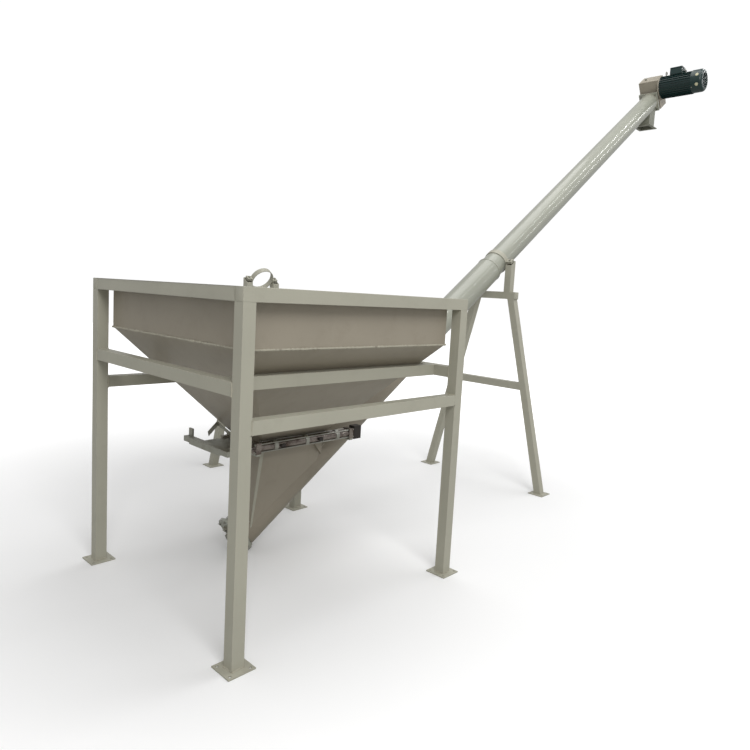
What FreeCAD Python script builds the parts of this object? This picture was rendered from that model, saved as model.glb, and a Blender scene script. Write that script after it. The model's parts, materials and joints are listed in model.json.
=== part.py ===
import FreeCAD, Part

import math
import os

V = FreeCAD.Vector

# ---- driving dimensions, mm -------------------------------------------------
FRAME_X = 1450.0          # hopper frame, outside
FRAME_Y = 1435.0
FRAME_H = 1579.0
BAR = 60.0                # square tube of both frames
WALL = 3.0
SIDE_RAIL_TOP = 1199.0    # rails along Y
LOW_RAIL_TOP = 1046.0     # rails along X
PLATE = 131.0             # foot plates
PLATE_T = 6.0
PLATE_HOLE_R = 7.0
PLATE_PITCH = 97.0

SHEET = 4.0               # hopper sheet
KNUCKLE_Z = 1322.0        # where the upright band meets the slope
HANG_GAP = 10.0           # between the band and the rails, filled by the hanger pads
PAD_L = 80.0
PAD_H = 40.0
CORNER = 24.0             # corner facet of the band
OUT_CX = 224.5            # outlet centre, size and height
OUT_CY = 290.0
OUT_X = 463.0
OUT_Y = 290.0
OUT_Z = 687.0
OUT_CORNER = 12.0
FLANGE_T = 8.0
FLANGE_W = 28.0

GATE_H = 34.0             # gate housing between the two flanges
BLADE_T = 8.0
BLADE_PLAY = 0.5
BLADE_SIDE = 2.0          # between the blade edge and the bottom of the groove
GROOVE = 15.0             # depth of the blade groove in each gate rail
RAIL_RUN = 177.0          # gate rails run past the right flange beside the screw tube
GATE_TAIL = 40.0          # gate rails reach this far past the left flange
BLADE_OUT = 215.0         # blade reaches this far past the gate rails
PULL_W = 36.0             # pull bar across the blade end
PULL_H = 30.0
PULL_NEAR = 245.0         # reach of the pull bar to each side
PULL_FAR = 220.0
LUG_T = 14.0
LUG_L = 42.0
LUG_H = 16.0
PIN_R = 6.0
FORK_GAP = 2.0            # between the fork and the pull bar

CYL_Y = 78.0              # gate cylinder axis
CYL_Z = 684.0
CYL_X0 = -107.0           # front face of the front cap
STROKE = 450.0            # travel of the blade
CYL_SPARE = 190.0         # tube length behind and ahead of the piston that the stroke leaves
CYL_BORE = 50.0
CYL_WALL = 3.0
CAP = 64.0
CAP_L = 34.0
FORK_HALF = 19.0
TIE_R = 4.0
TIE_OFF = 23.0
ROD_R = 10.0
PISTON_L = 30.0
RUN_FIT = 0.05
SEAT_FIT = 0.3            # between curved faces that seat on each other
ADAPTER_R = 14.0
ADAPTER_L = 14.0
VALVE_L = 60.0
VALVE_H = 84.0
VALVE_W = 50.0

AUGER_Y = 290.0           # vertical plane of the screw
TAIL_X = -65.0
TAIL_Z = 112.0
SLOPE = math.radians(35.4)
LOW_R = 106.5             # lower tube, outside
HIGH_R = 99.0             # upper tube, outside
TUBE_WALL = 4.0
SEAM_U = 2995.0           # along the axis from the tail face
TUBE_END_U = 6740.0
TAIL_PLATE_R = 125.0
TAIL_PLATE_T = 10.0
CHUTE_X1 = -30.0          # feet of the chute end walls on the axis plane
CHUTE_X2 = 440.0
CHUTE_HALF = 98.0

SHAFT_WALL = 6.0
SHAFT_PLUG = 120.0
SHAFT_R = 30.0            # screw pipe
STUB_R = 20.0
FLIGHT_R = 90.0
FLIGHT_T = 5.0
PITCH = 180.0
FLIGHT_START_U = 30.0
FLIGHT_TURNS = 36
BEARING_W = 112.0
BEARING_T = 36.0

SPOUT = 150.0             # discharge spout, square
SPOUT_U = 6680.0
SPOUT_DROP = 265.0
SPOUT_FLANGE = 205.0
SPOUT_FLANGE_T = 8.0
SPOUT_PITCH = 175.0
SPOUT_HOLE_R = 6.0

HEAD_PLATE = 210.0        # square plate on the tube end
HEAD_PLATE_T = 12.0
GEARBOX_U = 6875.0        # centre of the worm wheel
BOX_L = 170.0             # gearbox along the axis
BOX_H = 330.0
BOX_W = 215.0
BOX_DOWN = 105.0          # box bottom below the axis
BOX_WALL = 10.0
CENTRES = 110.0           # wheel axis to worm axis
WHEEL_R = 86.0
WHEEL_W = 44.0
TEETH = 40
WORM_R = 22.0
HOLLOW_R = 32.0

MOTOR_R = 118.0           # over the stator shell
MOTOR_BORE = 84.0
MOTOR_L = 360.0
MOTOR_FLANGE_R = 125.0
MOTOR_FLANGE_T = 14.0
COVER_L = 125.0
COVER_R = 122.0
ROTOR_R = 78.0
MOTOR_SHAFT_R = 14.0
FAN_R = 92.0
FAN_T = 26.0
TBOX_X = 150.0            # terminal box
TBOX_Y = 130.0
TBOX_H = 72.0
GLAND_R = 12.0
EYE_R = 18.0
EYE_BAR_R = 5.0
EYE_OFF = 35.0            # from the motor flange's face
TBOX_OFF = 100.0          # from the motor flange's face
TBOX_SINK = 16.0          # into the shell's round top
MOTOR_END_T = 12.0        # rear end wall of the shell
ROTOR_OFF = 40.0
ROTOR_SPARE = 90.0        # shell length that the rotor leaves free
FAN_OFF = 30.0
COVER_LAP = 14.0          # cover's skirt over the shell
COVER_T = 3.0
COVER_LIP = 10.0
GLAND_L = 26.0

SHAFT_START_U = 18.0      # where the big shaft tube begins
SHAFT_STOP = 25.0         # clear of the head plate
STUB_IN = 40.0            # stub shaft inside the big tube
STUB_OUT = 8.0            # stub shaft past the tail bearing
BEARING_R = 38.0
BEARING_BASE_T = 12.0
TAIL_BOLT_R = 5.0
TAIL_BOLT_IN = 9.0        # from the tail plate's rim
TAIL_COLLAR_T = 8.0
TAIL_BOLTS = 6
HEAD_BOLT_R = 6.0
HEAD_BOLT_IN = 22.0       # from the head plate's edge
LANTERN_R = 78.0
LANTERN_BORE = 60.0
LANTERN_T = 10.0
GEAR_COVER_T = 8.0
GEAR_BOLT_IN = 12.0
GEAR_BOLT_ACROSS = 13.0
GEAR_BOLT_H = 6.0
CLAMP_GAP = 1.5           # half the slit between the clamp halves
SENSOR_AT = (0.2, 0.62)   # shares of the barrel's length
SENSOR_L = 30.0
PISTON_OFF = 4.0
TIE_NUT_ACROSS = 13.0
TIE_NUT_H = 6.0
BRACKET_T = 10.0

STAND_U = 3127.0          # clamp centre along the axis
STAND_TOP = 1665.0        # top of the stand beam
STAND_BEAM = 450.0
STAND_FOOT = 589.0        # foot centre from the stand's middle
STAND_SHOULDER = 185.0
STAND_TIE_TOP = 905.0
POST_OFF = 142.0
CLAMP_L = 46.0
CLAMP_T = 6.0
EAR = 58.0
EAR_T = 10.0
EAR_BOLT_R = 6.0

SPARE_X = 1225.0          # second, free-standing stand
SPARE_Y = 1960.0
SPARE_TOP = 1470.0
SPARE_FOOT = 440.0
SPARE_SHOULDER = 182.0
SPARE_CLAMP_Z = 1655.0

# ---- places that follow -----------------------------------------------------
HX = FRAME_X / 2
HY = FRAME_Y / 2
BAND_X = HX - BAR - HANG_GAP
BAND_Y = HY - BAR - HANG_GAP
RAIL_Z = FRAME_H - BAR
GATE_TOP = OUT_Z - FLANGE_T
GATE_BOT = GATE_TOP - GATE_H
OUT_X0 = OUT_CX - OUT_X / 2
OUT_X1 = OUT_CX + OUT_X / 2
OUT_Y0 = OUT_CY - OUT_Y / 2
OUT_Y1 = OUT_CY + OUT_Y / 2
BLADE_Z = GATE_BOT + (GATE_H - BLADE_T) / 2
GATE_X0 = OUT_X0 - FLANGE_W - GATE_TAIL
BLADE_X0 = GATE_X0 - BLADE_OUT
BLADE_X1 = OUT_X1 - 5.0
PULL_Z = BLADE_Z + BLADE_T
PIN_X = BLADE_X0 + PULL_W + LUG_L / 2
CYL_R = CYL_BORE / 2
CYL_TUBE_L = STROKE + PISTON_L + CYL_SPARE
CYL_X1 = CYL_X0 + CAP_L + CYL_TUBE_L
CYL_END = CYL_X1 + CAP_L
CHUTE_TOP = GATE_BOT - FLANGE_T
TAN = math.tan(SLOPE)
TAIL = V(TAIL_X, AUGER_Y, TAIL_Z)
TILT = FreeCAD.Rotation(V(0, 1, 0), -math.degrees(SLOPE))
GEAR_Y0 = -BOX_W / 2
MOTOR_Y0 = GEAR_Y0 - MOTOR_FLANGE_T
MOTOR_Y1 = MOTOR_Y0 - MOTOR_L
SHAFT_END_U = GEARBOX_U + BOX_L / 2 + 12.0


def box(x0, x1, y0, y1, z0, z1):
    return Part.makeBox(x1 - x0, y1 - y0, z1 - z0, V(x0, y0, z0))


def cyl(radius, base, direction, length):
    return Part.makeCylinder(radius, length, base, direction)


def pipe(outer, inner, base, direction, length):
    return cyl(outer, base, direction, length).cut(cyl(inner, base, direction, length))


def hollow(x0, x1, y0, y1, z0, z1, along):
    """Square tube: the outer block less its core, open at both ends."""
    grow = {"x": (0, WALL, WALL), "y": (WALL, 0, WALL), "z": (WALL, WALL, 0)}[along]
    core = box(x0 + grow[0], x1 - grow[0], y0 + grow[1], y1 - grow[1], z0 + grow[2], z1 - grow[2])
    return box(x0, x1, y0, y1, z0, z1).cut(core)


def polygon(points):
    return Part.makePolygon(points + [points[0]])


def loft(lower, upper):
    return Part.makeLoft([polygon(lower), polygon(upper)], True, True)


def facet_ring(x0, x1, y0, y1, z, corner):
    """Rectangle with its four corners cut off at 45 degrees."""
    c = corner
    return [V(x0 + c, y0, z), V(x1 - c, y0, z), V(x1, y0 + c, z), V(x1, y1 - c, z),
            V(x1 - c, y1, z), V(x0 + c, y1, z), V(x0, y1 - c, z), V(x0, y0 + c, z)]


def compound(shapes):
    return Part.makeCompound(shapes)


def on_axis(shape):
    """Carry a shape drawn with X along the screw to its place on the slope."""
    out = shape.copy()
    out.Placement = FreeCAD.Placement(TAIL, TILT).multiply(out.Placement)
    return out


def axis_point(u):
    return TAIL + TILT.multVec(V(u, 0, 0))


def hexagon(across, base, direction, height):
    """Hexagon head or nut as a prism along direction."""
    r = across / math.sqrt(3)
    turn = FreeCAD.Rotation(V(0, 0, 1), direction)
    points = [base + turn.multVec(V(r * math.cos(k * math.pi / 3), r * math.sin(k * math.pi / 3), 0))
              for k in range(6)]
    return Part.Face(polygon(points)).extrude(direction * height)


def bolt(radius, base, direction, grip):
    """Hexagon bolt and nut clamping a grip length that starts at base."""
    head = hexagon(radius * 3, base - direction * radius * 1.3, direction, radius * 1.3)
    shank = cyl(radius, base, direction, grip)
    nut = hexagon(radius * 3, base + direction * grip, direction, radius * 1.6)
    return head.fuse(shank).fuse(nut)


def foot_plate(x, y):
    plate = box(x - PLATE / 2, x + PLATE / 2, y - PLATE / 2, y + PLATE / 2, 0, PLATE_T)
    for sx in (-1, 1):
        for sy in (-1, 1):
            centre = V(x + sx * PLATE_PITCH / 2, y + sy * PLATE_PITCH / 2, 0)
            plate = plate.cut(cyl(PLATE_HOLE_R, centre, V(0, 0, 1), PLATE_T))
    return plate


def hopper_frame():
    parts = {}
    for side_x, name_x in ((-1, "left"), (1, "right")):
        for side_y, name_y in ((-1, "near"), (1, "far")):
            x = side_x * (HX - BAR / 2)
            y = side_y * (HY - BAR / 2)
            tube = hollow(x - BAR / 2, x + BAR / 2, y - BAR / 2, y + BAR / 2, PLATE_T, RAIL_Z, "z")
            parts["frame_leg_%s_%s" % (name_x, name_y)] = tube.fuse(foot_plate(x, y))
    inner_x = HX - BAR
    inner_y = HY - BAR
    top = []
    low = []
    side_rails = []
    for side in (-1, 1):
        y0 = min(side * HY, side * inner_y)
        x0 = min(side * HX, side * inner_x)
        low0 = LOW_RAIL_TOP - BAR
        mid0 = SIDE_RAIL_TOP - BAR
        top.append(hollow(-HX, HX, y0, y0 + BAR, RAIL_Z, FRAME_H, "x"))
        top.append(hollow(x0, x0 + BAR, -inner_y, inner_y, RAIL_Z, FRAME_H, "y"))
        low.append(hollow(-inner_x, inner_x, y0, y0 + BAR, low0, LOW_RAIL_TOP, "x"))
        side_rails.append(hollow(x0, x0 + BAR, -inner_y, inner_y, mid0, SIDE_RAIL_TOP, "y"))
    parts["top_rails"] = compound(top)
    parts["low_rails"] = compound(low)
    parts["side_rails"] = compound(side_rails)
    drop = (KNUCKLE_Z - SIDE_RAIL_TOP) / (KNUCKLE_Z - OUT_Z)
    y1 = -BAND_Y + drop * (OUT_Y0 - SHEET + BAND_Y)
    parts["cradle_beam"] = hollow(-inner_x, inner_x, y1 - BAR, y1, SIDE_RAIL_TOP - BAR, SIDE_RAIL_TOP, "x")
    return parts


def panels(lower_out, lower_in, upper_out, upper_in):
    """Eight flat sheets that meet at mitres, one for each side of the facet rings."""
    sheets = []
    for k in range(8):
        n = (k + 1) % 8
        lower = [lower_out[k], lower_out[n], lower_in[n], lower_in[k]]
        upper = [upper_out[k], upper_out[n], upper_in[n], upper_in[k]]
        sheets.append(loft(lower, upper))
    return compound(sheets)


def inset_ring(x0, x1, y0, y1, z, corner, inset):
    """Facet ring moved inward by inset on all eight sides."""
    i = inset
    cut = corner - i * (2 - math.sqrt(2))
    return facet_ring(x0 + i, x1 - i, y0 + i, y1 - i, z, cut)


def hopper():
    parts = {}
    bx = BAND_X
    by = BAND_Y
    t = SHEET
    knuckle_out = inset_ring(-bx, bx, -by, by, KNUCKLE_Z, CORNER, 0.0)
    knuckle_in = inset_ring(-bx, bx, -by, by, KNUCKLE_Z, CORNER, t)
    rim_out = inset_ring(-bx, bx, -by, by, FRAME_H, CORNER, 0.0)
    rim_in = inset_ring(-bx, bx, -by, by, FRAME_H, CORNER, t)
    parts["hopper_band"] = panels(knuckle_out, knuckle_in, rim_out, rim_in)
    mouth = (OUT_X0 - t, OUT_X1 + t, OUT_Y0 - t, OUT_Y1 + t, OUT_Z, OUT_CORNER)
    parts["hopper_cone"] = panels(inset_ring(*mouth, 0.0), inset_ring(*mouth, t), knuckle_out, knuckle_in)
    parts["outlet_flange"] = flange_ring(OUT_Z - FLANGE_T)
    pads = []
    z0 = RAIL_Z + (BAR - PAD_H) / 2
    for side in (-1, 1):
        for share in (-0.5, 0.5):
            x = share * BAND_X
            y = share * BAND_Y
            y0 = min(side * BAND_Y, side * (BAND_Y + HANG_GAP))
            x0 = min(side * BAND_X, side * (BAND_X + HANG_GAP))
            pads.append(box(x - PAD_L / 2, x + PAD_L / 2, y0, y0 + HANG_GAP, z0, z0 + PAD_H))
            pads.append(box(x0, x0 + HANG_GAP, y - PAD_L / 2, y + PAD_L / 2, z0, z0 + PAD_H))
    parts["hanger_pads"] = compound(pads)
    return parts


def flange_ring(z0):
    w = FLANGE_W
    ring = box(OUT_X0 - w, OUT_X1 + w, OUT_Y0 - w, OUT_Y1 + w, z0, z0 + FLANGE_T)
    return ring.cut(box(OUT_X0, OUT_X1, OUT_Y0, OUT_Y1, z0, z0 + FLANGE_T))


def gate():
    parts = {}
    slot0 = BLADE_Z - BLADE_PLAY
    slot1 = BLADE_Z + BLADE_T + BLADE_PLAY
    x1 = OUT_X1 + FLANGE_W
    rail_x1 = x1 + RAIL_RUN
    rails = {"near": (OUT_Y0 - FLANGE_W, OUT_Y0, OUT_Y0 - GROOVE, OUT_Y0),
             "far": (OUT_Y1, OUT_Y1 + FLANGE_W, OUT_Y1, OUT_Y1 + GROOVE)}
    for name, (y0, y1, g0, g1) in rails.items():
        rail = box(GATE_X0, rail_x1, y0, y1, GATE_BOT, GATE_TOP)
        parts["gate_rail_" + name] = rail.cut(box(GATE_X0, x1, g0, g1, slot0, slot1))
    left = OUT_X0 - FLANGE_W
    parts["gate_end_bars"] = compound([
        box(OUT_X1, x1, OUT_Y0, OUT_Y1, GATE_BOT, GATE_TOP),
        box(left, OUT_X0, OUT_Y0, OUT_Y1, GATE_BOT, slot0),
        box(left, OUT_X0, OUT_Y0, OUT_Y1, slot1, GATE_TOP)])
    reach = GROOVE - BLADE_SIDE
    blade_y0 = OUT_Y0 - reach
    blade_y1 = OUT_Y1 + reach
    parts["gate_blade"] = box(BLADE_X0, BLADE_X1, blade_y0, blade_y1, BLADE_Z, BLADE_Z + BLADE_T)
    bar_y0 = OUT_CY - PULL_NEAR
    bar_y1 = OUT_CY + PULL_FAR
    bar = box(BLADE_X0, BLADE_X0 + PULL_W, bar_y0, bar_y1, PULL_Z, PULL_Z + PULL_H)
    lug_x0 = BLADE_X0 + PULL_W
    lug = box(lug_x0, lug_x0 + LUG_L, CYL_Y - LUG_T / 2, CYL_Y + LUG_T / 2, CYL_Z - LUG_H, CYL_Z + LUG_H)
    lug = lug.cut(cyl(PIN_R, V(PIN_X, CYL_Y - LUG_T, CYL_Z), V(0, 1, 0), 2 * LUG_T))
    flag = box(lug_x0 - 10, lug_x0, bar_y1 - 50, bar_y1 - 10, PULL_Z + PULL_H, PULL_Z + PULL_H + 45)
    parts["gate_pull_bar"] = bar.fuse(lug).fuse(flag)
    return parts


def cylinder():
    parts = {}
    ax = V(1, 0, 0)
    half = CAP / 2

    def cap(x0):
        return box(x0, x0 + CAP_L, CYL_Y - half, CYL_Y + half, CYL_Z - half, CYL_Z + half)

    def tie_points():
        return [(CYL_Y + sy * TIE_OFF, CYL_Z + sz * TIE_OFF) for sy in (-1, 1) for sz in (-1, 1)]

    front = cap(CYL_X0).cut(cyl(ROD_R + RUN_FIT, V(CYL_X0, CYL_Y, CYL_Z), ax, CAP_L))
    rear = cap(CYL_X1).fuse(cyl(ADAPTER_R, V(CYL_END, CYL_Y, CYL_Z), ax, ADAPTER_L))
    for y, z in tie_points():
        front = front.cut(cyl(TIE_R, V(CYL_X0, y, z), ax, CAP_L))
        rear = rear.cut(cyl(TIE_R, V(CYL_X1, y, z), ax, CAP_L))
    parts["cylinder_front_cap"] = front
    parts["cylinder_rear_cap"] = rear
    parts["cylinder_tube"] = pipe(CYL_R + CYL_WALL, CYL_R, V(CYL_X0 + CAP_L, CYL_Y, CYL_Z), ax, CYL_TUBE_L)
    rods = []
    for y, z in tie_points():
        start = V(CYL_X0, y, z)
        rod = cyl(TIE_R, start, ax, CYL_END - CYL_X0)
        rod = rod.fuse(hexagon(TIE_NUT_ACROSS, start - ax * TIE_NUT_H, ax, TIE_NUT_H))
        rod = rod.fuse(hexagon(TIE_NUT_ACROSS, V(CYL_END, y, z), ax, TIE_NUT_H))
        rods.append(rod)
    parts["cylinder_tie_rods"] = compound(rods)
    piston_x = CYL_X1 - PISTON_L - PISTON_OFF
    fork_x0 = BLADE_X0 + PULL_W + FORK_GAP
    rod_x0 = PIN_X + LUG_L / 2 + 26.0
    piston = cyl(CYL_R - RUN_FIT, V(piston_x, CYL_Y, CYL_Z), ax, PISTON_L)
    parts["piston_rod"] = piston.fuse(cyl(ROD_R, V(rod_x0, CYL_Y, CYL_Z), ax, piston_x - rod_x0))
    c = FORK_HALF
    slot = LUG_T / 2 + 0.5
    fork = box(fork_x0, rod_x0, CYL_Y - c, CYL_Y + c, CYL_Z - c, CYL_Z + c)
    fork = fork.cut(box(fork_x0, rod_x0 - 20, CYL_Y - slot, CYL_Y + slot, CYL_Z - c, CYL_Z + c))
    fork = fork.cut(cyl(PIN_R, V(PIN_X, CYL_Y - c, CYL_Z), V(0, 1, 0), 2 * c))
    parts["rod_clevis"] = fork
    parts["clevis_pin"] = cyl(PIN_R, V(PIN_X, CYL_Y - c - 4, CYL_Z), V(0, 1, 0), 2 * c + 8)
    rail_y0 = OUT_Y0 - FLANGE_W
    brackets = []
    for x in (CYL_X0 + 4, CYL_X1 + 4):
        z1 = CYL_Z - half
        brackets.append(box(x, x + CAP_L - 8, CYL_Y - half, rail_y0, z1 - BRACKET_T, z1))
    parts["cylinder_brackets"] = compound(brackets)
    shell_r = CYL_R + CYL_WALL
    sensors = []
    for share in SENSOR_AT:
        x = CYL_X0 + CAP_L + share * CYL_TUBE_L
        block = box(x, x + SENSOR_L, CYL_Y - shell_r - 12, CYL_Y - shell_r + 6, CYL_Z - 9, CYL_Z + 9)
        sensors.append(block.cut(cyl(shell_r + SEAT_FIT, V(x, CYL_Y, CYL_Z), ax, SENSOR_L)))
    parts["sensor_blocks"] = compound(sensors)
    x0 = CYL_END + ADAPTER_L
    parts["valve_block"] = box(x0, x0 + VALVE_L, CYL_Y - VALVE_W / 2, CYL_Y + VALVE_W / 2,
                               CYL_Z - VALVE_H / 2, CYL_Z + VALVE_H / 2)
    return parts


def chute_block(grow):
    """Solid from the chute's mouth down to the screw's axis; grow sets its faces outward."""
    g = grow
    top = [V(OUT_X0 - g, OUT_Y0 - g, CHUTE_TOP), V(OUT_X1 + g, OUT_Y0 - g, CHUTE_TOP),
           V(OUT_X1 + g, OUT_Y1 + g, CHUTE_TOP), V(OUT_X0 - g, OUT_Y1 + g, CHUTE_TOP)]
    half = CHUTE_HALF - SHEET + g
    x1 = CHUTE_X1 - g
    x2 = CHUTE_X2 + g
    za = TAIL_Z + (CHUTE_X1 - TAIL_X) * TAN
    zb = TAIL_Z + (CHUTE_X2 - TAIL_X) * TAN
    foot = [V(x1, AUGER_Y - half, za), V(x2, AUGER_Y - half, zb),
            V(x2, AUGER_Y + half, zb), V(x1, AUGER_Y + half, za)]
    return loft(foot, top)


def auger_tubes():
    parts = {}
    ax = V(1, 0, 0)
    bore = on_axis(cyl(LOW_R + SEAT_FIT, V(0, 0, 0), ax, SEAM_U))
    shell = chute_block(SHEET).cut(chute_block(0.0))
    body = shell.cut(bore)
    solids = sorted(body.Solids, key=lambda s: s.Volume)
    parts["inlet_chute"] = solids[-1].fuse(chute_flange())
    lower = on_axis(pipe(LOW_R, LOW_R - TUBE_WALL, V(0, 0, 0), ax, SEAM_U))
    lower = lower.cut(chute_block(0.0))
    parts["lower_tube"] = sorted(lower.Solids, key=lambda s: s.Volume)[-1]
    upper = on_axis(pipe(HIGH_R, HIGH_R - TUBE_WALL, V(SEAM_U, 0, 0), ax, TUBE_END_U - SEAM_U))
    throat = SPOUT / 2 - SHEET
    mouth = axis_point(SPOUT_U)
    hole = box(mouth.x - throat, mouth.x + throat, mouth.y - throat, mouth.y + throat,
               mouth.z - SPOUT_DROP, mouth.z)
    parts["upper_tube"] = upper.cut(hole)
    spout = box(mouth.x - SPOUT / 2, mouth.x + SPOUT / 2, mouth.y - SPOUT / 2, mouth.y + SPOUT / 2,
                mouth.z - SPOUT_DROP, mouth.z).cut(hole)
    spout = spout.cut(on_axis(cyl(HIGH_R + SEAT_FIT, V(SEAM_U, 0, 0), ax, TUBE_END_U - SEAM_U)))
    spout = sorted(spout.Solids, key=lambda s: s.Volume)[-1]
    parts["discharge_spout"] = spout.fuse(spout_flange(mouth, hole))
    return parts


def chute_flange():
    return flange_ring(CHUTE_TOP)


def spout_flange(mouth, hole):
    h = SPOUT_FLANGE / 2
    z0 = mouth.z - SPOUT_DROP
    ring = box(mouth.x - h, mouth.x + h, mouth.y - h, mouth.y + h, z0, z0 + SPOUT_FLANGE_T).cut(hole)
    for sx in (-1, 1):
        for sy in (-1, 1):
            centre = V(mouth.x + sx * SPOUT_PITCH / 2, mouth.y + sy * SPOUT_PITCH / 2, z0)
            ring = ring.cut(cyl(SPOUT_HOLE_R, centre, V(0, 0, 1), SPOUT_FLANGE_T))
    return ring


def tail_end():
    parts = {}
    ax = V(1, 0, 0)
    plate = cyl(TAIL_PLATE_R, V(-TAIL_PLATE_T, 0, 0), ax, TAIL_PLATE_T)
    plate = plate.cut(cyl(STUB_R + 0.5, V(-TAIL_PLATE_T, 0, 0), ax, TAIL_PLATE_T))
    ring_r = TAIL_PLATE_R - TAIL_BOLT_IN
    bolts = []
    for k in range(TAIL_BOLTS):
        angle = 2 * math.pi * (k + 0.5) / TAIL_BOLTS
        centre = V(0, ring_r * math.cos(angle), ring_r * math.sin(angle))
        plate = plate.cut(cyl(TAIL_BOLT_R, centre - ax * TAIL_PLATE_T, ax, TAIL_PLATE_T))
        bolts.append(bolt(TAIL_BOLT_R, centre - ax * TAIL_PLATE_T, ax, TAIL_PLATE_T + TAIL_COLLAR_T))
    parts["tail_plate"] = on_axis(plate)
    collar = pipe(TAIL_PLATE_R, LOW_R + SEAT_FIT, V(0, 0, 0), ax, TAIL_COLLAR_T)
    for b in bolts:
        collar = collar.cut(b)
    parts["tail_collar"] = on_axis(collar)
    parts["tail_bolts"] = on_axis(compound(bolts))
    h = BEARING_W / 2
    housing = box(-TAIL_PLATE_T - BEARING_BASE_T, -TAIL_PLATE_T, -h, h, -h, h)
    housing = housing.fuse(cyl(BEARING_R, V(-TAIL_PLATE_T - BEARING_T, 0, 0), ax, BEARING_T - BEARING_BASE_T))
    housing = housing.cut(cyl(STUB_R + RUN_FIT, V(-TAIL_PLATE_T - BEARING_T, 0, 0), ax, BEARING_T))
    parts["tail_bearing"] = on_axis(housing)
    return parts


def screw():
    parts = {}
    ax = V(1, 0, 0)
    pipe_end = TUBE_END_U - SHAFT_STOP
    body = cyl(SHAFT_R, V(SHAFT_START_U, 0, 0), ax, pipe_end - SHAFT_START_U)
    hollow_u = SHAFT_START_U + SHAFT_PLUG
    body = body.cut(cyl(SHAFT_R - SHAFT_WALL, V(hollow_u, 0, 0), ax, pipe_end - SHAFT_PLUG - hollow_u))
    body = body.fuse(cyl(STUB_R, V(-TAIL_PLATE_T - BEARING_T - STUB_OUT, 0, 0), ax,
                        STUB_IN + BEARING_T + TAIL_PLATE_T))
    body = body.fuse(cyl(STUB_R, V(pipe_end, 0, 0), ax, SHAFT_END_U - pipe_end))
    parts["screw_shaft"] = on_axis(body)
    turn = FreeCAD.Rotation(V(0, 0, 1), ax)
    r0 = SHAFT_R + SEAT_FIT
    section = polygon([V(r0, 0, 0), V(FLIGHT_R, 0, 0), V(FLIGHT_R, 0, FLIGHT_T), V(r0, 0, FLIGHT_T)])
    spine = Part.Wire(Part.makeHelix(PITCH, PITCH, FLIGHT_R).Edges)
    one = spine.makePipeShell([section], True, True)
    turns = []
    for k in range(FLIGHT_TURNS):
        copy = one.copy()
        copy.Placement = FreeCAD.Placement(V(FLIGHT_START_U + k * PITCH, 0, 0), turn)
        turns.append(copy)
    parts["screw_flight"] = on_axis(compound(turns))
    return parts


def head_end():
    parts = {}
    ax = V(1, 0, 0)
    h = HEAD_PLATE / 2
    u0 = TUBE_END_U
    u1 = u0 + HEAD_PLATE_T
    box_u0 = GEARBOX_U - BOX_L / 2
    plate = box(u0, u1, -h, h, -h, h).cut(cyl(STUB_R + 8, V(u0, 0, 0), ax, HEAD_PLATE_T))
    lug = h - HEAD_BOLT_IN
    bolts = []
    wall = LANTERN_T
    lantern = box(u1, u1 + wall, -h, h, -h, h)
    lantern = lantern.fuse(cyl(LANTERN_R, V(u1 + wall, 0, 0), ax, box_u0 - u1 - wall))
    lantern = lantern.cut(cyl(LANTERN_BORE, V(u1, 0, 0), ax, box_u0 - u1 - wall))
    lantern = lantern.cut(cyl(STUB_R + RUN_FIT, V(box_u0 - wall, 0, 0), ax, wall))
    for sy in (-1, 1):
        for sz in (-1, 1):
            one = bolt(HEAD_BOLT_R, V(u0, sy * lug, sz * lug), ax, HEAD_PLATE_T + wall)
            plate = plate.cut(one)
            lantern = lantern.cut(one)
            bolts.append(one)
    parts["head_plate"] = on_axis(plate)
    parts["head_lantern"] = on_axis(lantern)
    parts["m12_bolts"] = on_axis(compound(bolts))
    return parts


def gear_outline(radius, teeth, depth):
    points = []
    step = 2 * math.pi / teeth
    for k in range(teeth):
        for share, r in ((0.0, radius - depth), (0.25, radius), (0.5, radius), (0.75, radius - depth)):
            a = (k + share) * step
            points.append(V(0, r * math.cos(a), r * math.sin(a)))
    return points


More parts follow.
